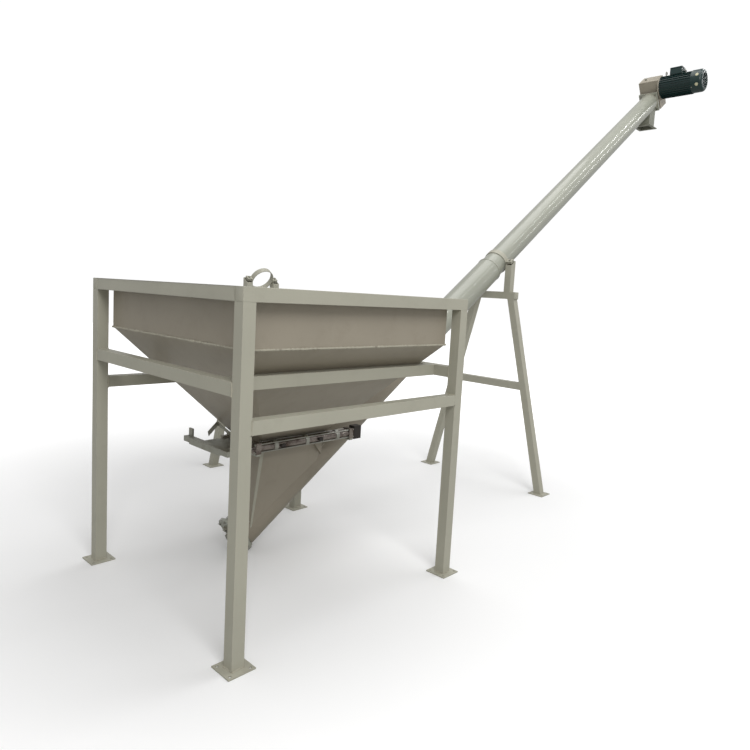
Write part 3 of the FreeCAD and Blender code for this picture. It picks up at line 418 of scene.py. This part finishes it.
bodyOf = {node: body for body, nodes in frame["record"]["behaviour"]["bodies"].items() for node in nodes}
nodeInfo = {sub["node"]: {"slot": sub["material_slot"], "body": bodyOf[sub["node"]]}
            for sub in frame["record"]["subparts"]}
for sub in frame["record"]["subparts"]:
    mesh = frame["nodes"][sub["node"]].data
    mesh.materials.clear()
    mesh.materials.append(finish[sub["material_slot"]])
# the tail bearing gets a cast finish; the discharge spout gets the tube's paint darkened as painted shade
for node, look in (("tail_bearing", "castBearing"), ("discharge_spout", "spoutShadedPaint")):
    mesh = frame["nodes"][node].data
    mesh.materials.clear()
    mesh.materials.append(finish[look])


def place(piece, body, slotName, look=None):
    piece.data.materials.clear()
    piece.data.materials.append(finish[look or slotName])
    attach(piece, body)
    return piece


def corners(node):
    low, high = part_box(node)
    return np.array(low), np.array(high)


joints = {j["name"]: j for j in frame["joints"]}
screwAxis = unit(joints["auger_spin"]["axis"])
screwStart = np.array(joints["auger_spin"]["pos_m"], float)
motorPoint = np.array(joints["motor_spin"]["pos_m"], float)
alongX = np.array([1.0, 0.0, 0.0])
alongY = np.array([0.0, 1.0, 0.0])
upright = np.array([0.0, 0.0, 1.0])
slopeUp = np.array([-screwAxis[2], 0.0, screwAxis[0]])  # square to the tube, on its upper side


def aroundMotor(angle):
    # unit vectors outwards and sideways at an angle about the motor's axis
    return (np.array([math.cos(angle), 0.0, math.sin(angle)]),
            np.array([-math.sin(angle), 0.0, math.cos(angle)]))


welds = {"radius": 0.0032, "wobble": 0.12, "sheetRadius": 0.0048, "bandCut": 0.024, "bar": 0.060,
         "footTop": 0.0075, "bandSeed": 40, "frameSeed": 100}


def ringBeads(ring, radius, seed):
    # straight beads that follow a closed ring of points
    return [bead("bead", start, end, radius, welds["wobble"], seed + k)
            for k, (start, end) in enumerate(zip(ring, ring[1:] + ring[:1]))]


def bandSeam():
    # the seam where the upright band meets the slope, round all eight sides
    low, high = corners("hopper_band")
    cut, z = welds["bandCut"], low[2]
    x0, x1, y0, y1 = low[0], high[0], low[1], high[1]
    ring = [(x0 + cut, y0, z), (x1 - cut, y0, z), (x1, y0 + cut, z), (x1, y1 - cut, z),
            (x1 - cut, y1, z), (x0 + cut, y1, z), (x0, y1 - cut, z), (x0, y0 + cut, z)]
    parts = ringBeads(ring, welds["sheetRadius"], welds["bandSeed"])
    return place(smooth(joinPieces("band_weld", parts)), "feeder", "hopper_paint", "weld")


def frameJointWelds():
    # beads round each rail where it butts against a leg, and round each leg on its foot plate
    parts = []
    bar = welds["bar"]
    for node, along in (("low_rails", 0), ("side_rails", 1)):
        low, high = corners(node)
        other = 1 - along
        for inner, outer in ((low[other] + bar, low[other]), (high[other] - bar, high[other])):
            for at in (low[along], high[along]):
                ring = np.zeros((4, 3))
                ring[:, along] = at
                ring[:, other] = inner, outer, outer, inner
                ring[:, 2] = low[2], low[2], high[2], high[2]
                parts += ringBeads(list(ring), welds["radius"], welds["frameSeed"] + len(parts))
    for leg in ("left_near", "left_far", "right_near", "right_far"):
        low, high = corners("frame_leg_" + leg)
        x, y = (low[:2] + high[:2]) / 2
        half, z = bar / 2, welds["footTop"]
        ring = [(x - half, y - half, z), (x + half, y - half, z), (x + half, y + half, z),
                (x - half, y + half, z)]
        parts += ringBeads(ring, welds["radius"], welds["frameSeed"] + len(parts))
    return place(smooth(joinPieces("frame_welds", parts)), "feeder", "frame_paint", "weld")


tube = {"seamAt": 2.995, "tailAt": 0.011, "endAt": 6.740, "lowRadius": 0.1065, "highRadius": 0.099,
        "seamBead": 0.0045, "endBead": 0.0035, "ringTurns": 160, "ringSides": 8, "ripples": 46.0,
        "lipLong": 0.012, "lipEase": 0.002, "lipHigh": 0.003}


def tubeRing(name, distance, radius, thick, seed):
    # a bead round the screw tube: a thin torus with a rippled section
    along, side, up = frameOf(screwAxis)
    centre = screwStart + along * distance
    a = np.linspace(0.0, 2.0 * math.pi, tube["ringTurns"], endpoint=False)
    b = np.linspace(0.0, 2.0 * math.pi, tube["ringSides"], endpoint=False)
    rng = np.random.default_rng(seed)
    r = thick * (1.0 + 0.2 * np.sin(a * tube["ripples"]) + 0.08 * rng.normal(0.0, 1.0, tube["ringTurns"]))
    out = circle(side, up, tube["ringTurns"])
    points = (centre + (radius + r[:, None, None] * np.cos(b)[None, :, None]) * out[:, None, :]
              + (r[:, None] * np.sin(b)[None, :])[:, :, None] * along)
    return gridMesh(name, points, closeU=True, closeV=True)


def tubeWelds():
    # rings at the step between the two tubes and at both ends
    parts = [tubeRing("seamRing", tube["seamAt"], tube["highRadius"] + 0.003, tube["seamBead"], 5),
             tubeRing("tailRing", tube["tailAt"], tube["lowRadius"] + 0.002, tube["endBead"], 6),
             tubeRing("headRing", tube["endAt"] - 0.003, tube["highRadius"] + 0.001, tube["endBead"], 7)]
    return place(smooth(joinPieces("tube_welds", parts)), "feeder", "tube_paint", "weld")


def jointSleeve():
    # a short lipped band where the two tubes meet
    r, long, ease, lip = tube["lowRadius"], tube["lipLong"], tube["lipEase"], tube["lipHigh"]
    start = screwStart + screwAxis * (tube["seamAt"] - long)
    outline = [(0.0, r), (0.0, r + 0.0020), (ease, r + lip), (long - ease, r + lip), (long, r + 0.0020),
               (long, r)]
    return place(smooth(turned("joint_sleeve", start, screwAxis, outline, 96)), "feeder", "tube_paint")


bandSeam()
frameJointWelds()
tubeWelds()
jointSleeve()
print("stage: welds")


motor = {"ribs": 30, "ribHeight": 0.011, "ribThick": 0.0032, "ribSunk": 0.004, "ribTip": 0.55,
         "boxClear": 0.72, "frontGap": 0.016, "backGap": 0.006}


def motorRibs():
    # cooling ribs along the stator shell, each a thin plate with a narrower tip, and none by the box
    low, high = corners("motor_shell")
    ends = (low[1] + motor["frontGap"], high[1] - motor["backGap"])
    radius = (high[2] - low[2]) / 2.0
    centre = np.array([motorPoint[0], 0.0, motorPoint[2]])
    tip, sunk, tall = motor["ribTip"], motor["ribSunk"], motor["ribHeight"]
    profile = [(-1.0, -sunk), (1.0, -sunk), (tip, tall), (-tip, tall)]
    parts = []
    for k in range(motor["ribs"]):
        out, side = aroundMotor(2.0 * math.pi * (k + 0.5) / motor["ribs"])
        if out[2] > motor["boxClear"]:
            continue
        rows = [[centre + out * (radius + h) + side * s * motor["ribThick"] / 2 + alongY * y
                 for s, h in profile] for y in ends]
        parts.append(gridMesh("rib", np.array(rows), closeV=True))
    return place(joinPieces("motor_ribs", parts), "feeder", "motor_green")


cover = {"bend": 0.034, "wall": 0.003, "eye": 0.080, "endGap": 0.002, "rings": (0.020, 0.040, 0.060, 0.079),
         "ringWide": 0.004, "wire": 0.003, "spokes": 8, "spokeHalf": 0.0020, "hub": 0.012,
         "plugAngles": (17.0, -33.0), "plugAt": 0.55, "screws": 4, "screwIn": 0.012}


def domedCover():
    # the fan cover: a skirt that turns over a broad round into a flat end with an open middle
    low, high = corners("fan_cover")
    start = np.array([motorPoint[0], high[1], motorPoint[2]])
    radius = (high[2] - low[2]) / 2.0
    length = high[1] - low[1] - cover["endGap"]
    bend, wall, eye = cover["bend"], cover["wall"], cover["eye"]
    t = np.linspace(0.0, math.pi / 2, 12)
    quarter = np.stack([np.sin(t), np.cos(t)], -1)
    centre = np.array([length - bend, radius - bend])
    outline = np.vstack([[[0.0, radius]], centre + bend * quarter, [[length, eye], [length - wall, eye]],
                         (centre + (bend - wall) * quarter)[::-1], [[0.0, radius - wall]]])
    dome = smooth(lathedRing("fan_hood", start, -alongY, outline, 96))
    place(dome, "feeder", "motor_green")
    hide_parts("fan_cover")
    cap = [(0.0, 0.017), (0.003, 0.017), (0.0048, 0.015), (0.0056, 0.010), (0.0058, 0.0005)]
    plugs = []
    for lift in cover["plugAngles"]:
        out, _ = aroundMotor(math.pi - math.radians(lift))
        base = start - alongY * length * cover["plugAt"] + out * (radius - 0.0015)
        plugs.append(turned("plug", base, out, cap, 32))
    place(smooth(joinPieces("hood_plugs", plugs)), "feeder", "zinc_steel", "palePlug")


def hoodGrille():
    # rings and spokes across the open middle of the hood
    low, _ = corners("fan_cover")
    centre = np.array([motorPoint[0], low[1] + 0.0025, motorPoint[2]])
    wire, half = cover["wire"], cover["spokeHalf"]
    parts = []
    for r in cover["rings"]:
        outline = [(0.0, r), (0.0, r + cover["ringWide"]), (wire, r + cover["ringWide"]), (wire, r)]
        parts.append(lathedRing("ring", centre, alongY, outline))
    section = ((-half, 0.0), (half, 0.0), (half, wire), (-half, wire))
    for k in range(cover["spokes"]):
        out, side = aroundMotor(2.0 * math.pi * k / cover["spokes"])
        rows = [[centre + out * r + side * w + alongY * h for w, h in section]
                for r in (cover["hub"], cover["eye"] + wire)]
        parts.append(gridMesh("spoke", np.array(rows), closeV=True))
    return place(joinPieces("hood_grille", parts), "feeder", "motor_green")


def coverScrews():
    # pan screws round the fan cover's skirt
    low, high = corners("fan_cover")
    radius = (high[2] - low[2]) / 2.0
    centre = np.array([motorPoint[0], high[1] - cover["screwIn"], motorPoint[2]])
    head = [(0.0, 0.0001), (0.0, 0.0070), (0.0025, 0.0066), (0.0042, 0.0045), (0.0050, 0.0001)]
    parts = []
    for k in range(cover["screws"]):
        out, _ = aroundMotor(2.0 * math.pi * (k + 0.5) / cover["screws"])
        parts.append(turned("screw", centre + out * (radius - 0.001), out, head, 20))
    return place(smooth(joinPieces("cover_screws", parts)), "feeder", "zinc_steel")


lid = {"overhang": 0.004, "back": 0.134, "sunk": 0.010, "thick": 0.015, "corner": 0.012, "edge": 0.005,
       "screwIn": 0.014, "nutRadius": 0.017, "nutLong": 0.0098}


def terminalLid():
    # the terminal box's overlapping lid, its four screws and the gland's nut
    low, high = corners("terminal_box")
    mid = (low[0] + high[0]) / 2.0
    halfX = (high[0] - low[0]) / 2.0 + lid["overhang"]
    y0, y1 = high[1] - lid["back"], high[1] + lid["overhang"]
    centre = (mid, (y0 + y1) / 2.0, high[2] - lid["sunk"])
    place(smooth(slab("terminal_lid", centre, upright, alongY, halfX, (y1 - y0) / 2.0, lid["thick"],
                      lid["corner"], lid["edge"])), "feeder", "motor_green")
    screw = [(0.0, 0.005), (0.0016, 0.0045), (0.0022, 0.0005)]
    parts = []
    for sx in (-1, 1):
        for y in (y0 + lid["screwIn"], y1 - lid["screwIn"]):
            at = (mid + sx * (halfX - lid["screwIn"]), y, high[2] + 0.0045)
            parts.append(turned("lidScrew", at, upright, screw, 16))
    nutAt = np.array([mid, low[1] + 0.010, (low[2] + high[2]) / 2.0 + 0.002])
    r, long = lid["nutRadius"], lid["nutLong"]
    nut = [(0.0, r), (long - 0.0008, r), (long, r - 0.0025), (long, 0.0005)]
    parts.append(turned("glandNut", nutAt, -alongY, nut, 6))
    return place(smooth(joinPieces("lid_screws", parts)), "feeder", "zinc_steel")


motorRibs()
domedCover()
hoodGrille()
coverScrews()
terminalLid()
print("stage: motor")


gearbox = {"at": 6.875, "ribApart": 0.055, "ribFrom": -0.085, "ribTo": 0.135, "ribHalf": 0.005,
           "ribProud": 0.007, "ribTip": 0.6, "bossUp": 0.110, "endBossAt": 0.0925, "breatherUp": 0.2245,
           "breatherAside": 0.05, "plugDown": 0.02, "plugAcross": 0.019, "plugHigh": 0.008,
           "flangeScrews": 8, "flangeInset": 0.0035}
gearboxCentre = screwStart + screwAxis * gearbox["at"]


def gearboxRibs():
    # stiffening ribs and a bearing boss cast on the gearbox's far side, and a boss on its upper end
    low, high = corners("gearbox_housing")
    halfWidth = (high[1] - low[1]) / 2.0
    half, tip = gearbox["ribHalf"], gearbox["ribTip"] * gearbox["ribHalf"]
    foot, top = halfWidth - 0.001, halfWidth + gearbox["ribProud"]
    section = ((-half, foot), (half, foot), (tip, top), (-tip, top))
    parts = []
    for offset in (-gearbox["ribApart"], gearbox["ribApart"]):
        rows = [[gearboxCentre + screwAxis * (offset + s) + slopeUp * h + alongY * y for s, y in section]
                for h in (gearbox["ribFrom"], gearbox["ribTo"])]
        parts.append(gridMesh("rib", np.array(rows), closeV=True))
    boss = [(0.0, 0.0001), (0.0, 0.052), (0.007, 0.049), (0.009, 0.044), (0.009, 0.0001)]
    parts.append(turned("boss", gearboxCentre + slopeUp * gearbox["bossUp"] + alongY * foot, alongY, boss))
    endBoss = [(0.0, 0.0001), (0.0, 0.062), (0.008, 0.058), (0.011, 0.050), (0.011, 0.0001)]
    parts.append(turned("endBoss", gearboxCentre + screwAxis * gearbox["endBossAt"], screwAxis, endBoss))
    return place(smooth(joinPieces("gearbox_bosses", parts)), "feeder", "gearbox_paint")


def headFittings():
    # socket screws round the motor's flange, a breather and an oil plug on the gearbox
    low, high = corners("motor_flange")
    radius = (high[2] - low[2]) / 2.0 - gearbox["flangeInset"]
    centre = np.array([motorPoint[0], low[1] + 0.0005, motorPoint[2]])
    screw = [(0.0, 0.0060), (0.0068, 0.0060), (0.0080, 0.0050), (0.0080, 0.0005)]
    parts = []
    for k in range(gearbox["flangeScrews"]):
        out, _ = aroundMotor(2.0 * math.pi * (k + 0.5) / gearbox["flangeScrews"])
        parts.append(turned("flangeScrew", centre + out * radius, -alongY, screw, 18))
    breatherAt = gearboxCentre + slopeUp * gearbox["breatherUp"] + alongY * gearbox["breatherAside"]
    stem = [(0.0, 0.010), (0.010, 0.010), (0.011, 0.014), (0.018, 0.014), (0.020, 0.011), (0.020, 0.0005)]
    parts.append(turned("breather", breatherAt, slopeUp, stem, 24))
    low, high = corners("gearbox_housing")
    plugAt = gearboxCentre - slopeUp * gearbox["plugDown"] + alongY * ((high[1] - low[1]) / 2.0 - 0.0005)
    parts += hexHead(plugAt, alongY, gearbox["plugAcross"], gearbox["plugHigh"])
    return place(smooth(joinPieces("head_fittings", parts)), "feeder", "zinc_steel")


gearboxRibs()
headFittings()
softened("gearbox_housing", "gearbox_casting", 0.014, 4)
softened("gearbox_cover", "gearbox_lid", 0.003)
softened("motor_flange", "motor_rim", 0.003)
print("stage: gearbox")


rounding = {"rail": 0.0045, "leg": 0.0025}
for node, name in (("frame_leg_left_near", "leg_left_near"), ("frame_leg_left_far", "leg_left_far"),
                   ("frame_leg_right_near", "leg_right_near"), ("frame_leg_right_far", "leg_right_far"),
                   ("top_rails", "rails_top"), ("low_rails", "rails_low"), ("side_rails", "rails_side"),
                   ("cradle_beam", "beam_cradle"), ("stand_legs", "legs_stand"),
                   ("stand_beam", "beam_stand")):
    softened(node, name, rounding["rail"] if "rail" in node or "beam" in node else rounding["leg"])
print("stage: rounded tubes")


caps = {"bar": 0.060, "half": 0.0295, "thick": 0.004, "corner": 0.0045, "edge": 0.0012, "proud": 0.0004}
spare = {"x": 1.225, "y": 1.960, "half": 0.225, "top": 1.470}  # the second stand's beam


def cap(end, out):
    # a plate let into the open end of a square tube, standing just proud of it
    base = np.array(end) - out * (caps["thick"] - caps["proud"])
    return slab("cap", base, out, upright, caps["half"], caps["half"], caps["thick"], caps["corner"],
                caps["edge"])


def railCaps():
    # the ends of the two long top rails and of both stands' beams
    half = caps["bar"] / 2
    low, high = corners("top_rails")
    parts = []
    for y in (low[1] + half, high[1] - half):
        parts += [cap((low[0], y, high[2] - half), -alongX), cap((high[0], y, high[2] - half), alongX)]
    low, high = corners("stand_beam")
    x, z = (low[0] + high[0]) / 2.0, high[2] - half
    parts += [cap((x, low[1], z), -alongY), cap((x, high[1], z), alongY)]
    for end in (-1, 1):
        parts.append(cap((spare["x"] + end * spare["half"], spare["y"], spare["top"] - half), alongX * end))
    return place(smooth(joinPieces("rail_caps", parts)), "feeder", "frame_paint")


trough = {"from": 0.020, "to": 0.76, "inner": 0.1070, "outer": 0.1095, "startAngle": 58.0, "endAngle": 302.0,
          "bead": 0.0026, "wobble": 0.10, "seed": 300}


def troughSkin():
    # a sheet wrapped under the screw tube: an arc with a thickness, carried along the slope, in darker paint that
    # is partly the trough's own taupe and partly painted shade from the hopper
    a = np.radians(np.linspace(trough["startAngle"], trough["endAngle"], 60))
    out = np.cos(a)[:, None] * slopeUp - np.sin(a)[:, None] * alongY
    section = np.vstack([out * trough["outer"], out[::-1] * trough["inner"]])
    u = np.array([trough["from"], trough["to"]])
    points = screwStart + u[:, None, None] * screwAxis + section[None, :, :]
    skin = smooth(gridMesh("trough_skin", points, closeV=True))
    place(skin, "feeder", "hopper_paint", "trough_shade_paint")
    edges = []
    for k, side in enumerate(out[[0, -1]]):
        start, end = screwStart + u[:, None] * screwAxis + side * (trough["outer"] - 0.0005)
        edges.append(bead("edge", start, end, trough["bead"], trough["wobble"], trough["seed"] + k))
    return place(smooth(joinPieces("trough_edges", edges)), "feeder", "hopper_paint", "weld")


sleeve = {"from": 0.74, "to": 1.74, "inner": 0.1068, "outer": 0.1098, "rimLong": 0.014, "rimHigh": 0.003}


def shadeSleeve():
    # a plain sleeve that carries on the trough sheet's darker paint all round the tube and ends in a rolled rim:
    # painted shade where the tube lies under the hopper
    a, b, rim = sleeve["inner"], sleeve["outer"], sleeve["rimHigh"]
    long = sleeve["to"] - sleeve["from"]
    outline = [(0.0, a), (0.0, b - 0.001), (0.001, b), (long - sleeve["rimLong"], b),
               (long - sleeve["rimLong"] + rim, b + rim), (long - rim, b + rim), (long, b), (long, a)]
    start = screwStart + screwAxis * sleeve["from"]
    return place(smooth(lathedRing("shade_sleeve", start, screwAxis, outline, 120)), "feeder", "hopper_paint",
                 "trough_shade_paint")


chute = {"topZ": 0.637, "nearTop": 0.141, "nearFoot": 0.192, "leftTop": -0.011, "leftFoot": -0.034,
         "footZ": 0.137, "stripTop": 0.022, "stripFoot": 0.008, "proud": 0.003, "wrap": 0.002, "sunk": 0.001}


def chuteStrip():
    # a folded edge up the chute's near left corner, wider at the top
    top = np.array([chute["leftTop"], chute["nearTop"], chute["topZ"]])
    foot = np.array([chute["leftFoot"], chute["nearFoot"], chute["footZ"]])
    s = np.linspace(0.0, 1.0, 16)[:, None]
    wide = alongX * (chute["stripTop"] + s * (chute["stripFoot"] - chute["stripTop"]))
    base = top + s * (foot - top)
    back, front = alongY * chute["sunk"], -alongY * chute["proud"]
    left = base - alongX * chute["wrap"]
    ring = np.stack([left + back, left + front, base + wide + front, base + wide + back], 1)
    return place(gridMesh("chute_strip", ring, closeV=True), "feeder", "hopper_paint", "frame_paint")


gusset = {"corner": (0.436, 0.150, 0.636), "wide": 0.060, "tall": 0.075, "proud": 0.026}


def chuteGusset():
    # a small three-cornered stiffener under the chute's flange, near its right end
    corner = np.array(gusset["corner"])
    face = np.array([corner, corner - alongX * gusset["wide"], corner - upright * gusset["tall"]])
    points = np.stack([face, face - alongY * gusset["proud"]])
    return place(gridMesh("chute_gusset", points, closeV=True), "feeder", "hopper_paint")


bracket = {"left": (-0.146, 0.488, 0.692), "ridge": (-0.064, 0.520, 0.742), "right": (-0.050, 0.380, 0.692),
           "wide": 0.036, "thick": 0.005}


def footBracket():
    # a folded flat bar, the shape of a small roof, at the cone's far left foot
    line = np.array([bracket["left"], bracket["ridge"], bracket["right"]])
    across = unit(np.cross(line[1] - line[0], line[2] - line[1])) * bracket["wide"] / 2.0
    inward = unit((line[0] + line[2]) / 2.0 - line[1]) * bracket["thick"]
    points = np.stack([line - across, line + across, line + across + inward, line - across + inward], 1)
    return place(gridMesh("foot_bracket", points, closeV=True), "feeder", "frame_paint")


flange = {"fromSide": 0.014, "fromEnd": 0.020, "bolts": 6, "sunk": 0.0003, "across": 0.016, "high": 0.007}


def flangeBolts():
    # bolts through the outlet flange and the chute's flange, along both long sides
    low, high = corners("outlet_flange")
    parts = []
    for y in (low[1] + flange["fromSide"], high[1] - flange["fromSide"]):
        for x in np.linspace(low[0] + flange["fromEnd"], high[0] - flange["fromEnd"], flange["bolts"]):
            parts += hexHead((x, y, high[2] - flange["sunk"]), upright, flange["across"], flange["high"])
    return place(smooth(joinPieces("flange_bolts", parts)), "feeder", "zinc_steel")


barrel = {"bands": (0.16, 0.50, 0.86), "bandWide": 0.026, "bandHigh": 0.0045, "ease": 0.002}


def barrelBands():
    # mounting bands round the cylinder's barrel
    low, high = corners("cylinder_tube")
    radius = (high[2] - low[2]) / 2.0
    _, y, z = (low + high) / 2.0
    w, ease, top = barrel["bandWide"], barrel["ease"], radius + barrel["bandHigh"]
    outline = [(0.0, radius + 0.0002), (0.0, radius + 0.003), (ease, top), (w - ease, top),
               (w, radius + 0.003), (w, radius + 0.0002)]
    parts = []
    for share in barrel["bands"]:
        x = low[0] + share * (high[0] - low[0]) - w / 2.0
        parts.append(lathedRing("band", (x, y, z), alongX, outline, 64))
    return place(smooth(joinPieces("barrel_bands", parts)), "feeder", "zinc_steel")


bearing = {"faceAt": -0.022, "nutOff": 0.044, "nutAcross": 0.017, "nutHigh": 0.009, "sealAt": -0.0458,
           "ring": 0.030, "nippleAt": -0.034, "nippleUp": 0.0375}


def bearingDetails():
    # seal ring, corner nuts and a grease nipple on the tail bearing
    parts = []
    face, off = screwStart + screwAxis * bearing["faceAt"], bearing["nutOff"]
    for sy in (-1, 1):
        for sz in (-1, 1):
            parts += hexHead(face + alongY * sy * off + slopeUp * sz * off, -screwAxis, bearing["nutAcross"],
                             bearing["nutHigh"])
    r = bearing["ring"]
    seal = [(0.0, r - 0.006), (0.0, r + 0.004), (0.002, r + 0.003), (0.003, r), (0.002, r - 0.005)]
    parts.append(lathedRing("seal", screwStart + screwAxis * bearing["sealAt"], -screwAxis, seal, 48))
    nipple = [(0.0, 0.004), (0.006, 0.004), (0.007, 0.0028), (0.013, 0.0028), (0.015, 0.0036),
              (0.018, 0.0026), (0.018, 0.0005)]
    nippleAt = screwStart + screwAxis * bearing["nippleAt"] + slopeUp * bearing["nippleUp"]
    parts.append(turned("nipple", nippleAt, slopeUp, nipple, 16))
    slotName = nodeInfo["tail_bearing"]["slot"]
    return place(smooth(joinPieces("bearing_details", parts)), "feeder", slotName, "plain_steel")


railCaps()
troughSkin()
shadeSleeve()
chuteStrip()
chuteGusset()
footBracket()
flangeBolts()
barrelBands()
bearingDetails()
print("stage: caps, trough, bolts")


stage = {"floorSize": 40.0, "floorShift": 2.0, "floorDrop": 0.0005, "floorCentre": (0.8, 0.4, 0.0),
         "fadeFrom": 1.5, "fadeTo": 6.0, "fadeLevel": 0.68, "floorSeen": (0.93, 0.93, 0.93, 1.0),
         "floorLit": (0.50, 0.50, 0.48, 1.0), "sky": 0.52, "skySeen": 1.02, "aimHeight": 1.6}
lamps = {"key": {"spot": (-2.5, -6.0, 6.5), "power": 360.0, "wide": 4.0},
         "fill": {"spot": (-6.0, 2.5, 4.0), "power": 12.0, "wide": 5.0},
         "top": {"spot": (3.0, 0.5, 9.0), "power": 235.0, "wide": 6.0}}
strips = {"stripHigh": {"spot": (5.7, -2.1, 6.5), "share": 1.0},
          "stripLow": {"spot": (7.1, -2.6, 4.45), "share": 0.7}}
strip = {"power": 44.0, "wide": 0.06, "long": 6.0, "aimAt": 4.4}


def buildFloor():
    size = stage["floorSize"] / 2
    t = np.linspace(-size, size, 3)
    xx, yy = np.meshgrid(t, t, indexing="ij")
    level = np.zeros_like(xx) - stage["floorDrop"]
    floor = gridMesh("floor", np.stack([xx + stage["floorShift"], yy, level], -1))
    mat = bpy.data.materials.new("floorPale")
    mat.use_nodes = True
    nodes, links = mat.node_tree.nodes, mat.node_tree.links
    shader = nodes["Principled BSDF"]
    shader.inputs["Roughness"].default_value = 0.85
    shader.inputs["Emission Color"].default_value = (1.0, 1.0, 1.0, 1.0)
    ray = nodes.new("ShaderNodeLightPath")
    tint = mixNode(nodes, links, "MIX", ray.outputs["Is Camera Ray"], stage["floorLit"], stage["floorSeen"])
    links.new(tint, shader.inputs["Base Color"])
    coords = nodes.new("ShaderNodeTexCoord")
    reach = nodes.new("ShaderNodeVectorMath")
    reach.operation = "DISTANCE"
    reach.inputs[1].default_value = stage["floorCentre"]
    links.new(coords.outputs["Object"], reach.inputs[0])
    fade = nodes.new("ShaderNodeMapRange")  # the floor turns into plain white away from the object
    fade.interpolation_type = "SMOOTHSTEP"
    fade.inputs["From Min"].default_value = stage["fadeFrom"]
    fade.inputs["From Max"].default_value = stage["fadeTo"]
    fade.inputs["To Max"].default_value = stage["fadeLevel"]
    links.new(reach.outputs["Value"], fade.inputs["Value"])
    seen = nodes.new("ShaderNodeMath")
    seen.operation = "MULTIPLY"
    links.new(fade.outputs["Result"], seen.inputs[0])
    links.new(ray.outputs["Is Camera Ray"], seen.inputs[1])
    links.new(seen.outputs[0], shader.inputs["Emission Strength"])
    floor.data.materials.append(mat)


def buildSky():
    world = bpy.data.worlds.new("studio")
    bpy.context.scene.world = world
    world.use_nodes = True
    nodes, links = world.node_tree.nodes, world.node_tree.links
    sky = nodes["Background"]
    sky.inputs[0].default_value = (1.0, 1.0, 1.0, 1.0)
    ray = nodes.new("ShaderNodeLightPath")
    level = nodes.new("ShaderNodeMapRange")  # paler where it is seen than where it lights
    level.inputs["To Min"].default_value = stage["sky"]
    level.inputs["To Max"].default_value = stage["skySeen"]
    links.new(ray.outputs["Is Camera Ray"], level.inputs["Value"])
    links.new(level.outputs["Result"], sky.inputs[1])


def areaLight(name, power, width):
    lamp = bpy.data.lights.new(name, "AREA")
    lamp.energy = power
    lamp.size = width
    light = bpy.data.objects.new(name, lamp)
    light.visible_camera = False
    bpy.context.collection.objects.link(light)
    return light


def buildLights():
    # three broad lights aimed at the object's middle and two long strips that lie along the tube
    middle = (Vector(cadLow) + Vector(cadHigh)) / 2
    aim = Vector((middle.x, middle.y, stage["aimHeight"]))
    for name, lamp in lamps.items():
        light = areaLight(name, lamp["power"], lamp["wide"])
        light.location = lamp["spot"]
        light.rotation_euler = (aim - Vector(lamp["spot"])).to_track_quat("-Z", "Y").to_euler()
    tubeMiddle = screwStart + screwAxis * strip["aimAt"]
    for name, lamp in strips.items():
        light = areaLight(name, strip["power"] * lamp["share"], strip["long"])
        light.data.shape = "RECTANGLE"
        light.data.size_y = strip["wide"]
        away = unit(np.array(lamp["spot"]) - tubeMiddle)
        across = unit(screwAxis - away * float(screwAxis @ away))
        turn = Matrix((across, np.cross(away, across), away)).transposed().to_4x4()
        light.matrix_world = Matrix.Translation(Vector(lamp["spot"])) @ turn


view = {"place": (-2.06255, -2.74779, 1.57617), "heading": 42.614, "pitch": -6.041, "roll": 3.349,
        "lens": 29.478, "shiftX": -0.02503, "shiftY": -0.01895}


def buildCamera():
    # heading is from +X towards +Y, pitch above the horizon, roll clockwise as seen
    yaw, pitch, roll = (math.radians(view[k]) for k in ("heading", "pitch", "roll"))
    ahead = np.array([math.cos(yaw) * math.cos(pitch), math.sin(yaw) * math.cos(pitch), math.sin(pitch)])
    level = np.array([math.sin(yaw), -math.cos(yaw), 0.0])
    above = np.cross(level, ahead)
    right = level * math.cos(roll) + above * math.sin(roll)
    up = np.cross(right, ahead)
    data = bpy.data.cameras.new("camera")
    data.sensor_width = 36.0
    data.lens = view["lens"]
    data.shift_x = view["shiftX"]
    data.shift_y = view["shiftY"]
    data.clip_end = 100.0
    camera = bpy.data.objects.new("camera", data)
    turn = Matrix((right, up, -ahead)).transposed().to_4x4()
    camera.matrix_world = Matrix.Translation(Vector(view["place"])) @ turn
    bpy.context.collection.objects.link(camera)
    bpy.context.scene.camera = camera


buildFloor()
buildSky()
buildLights()
buildCamera()
bpy.context.scene.view_settings.view_transform = "Standard"
print("stage: studio and camera")
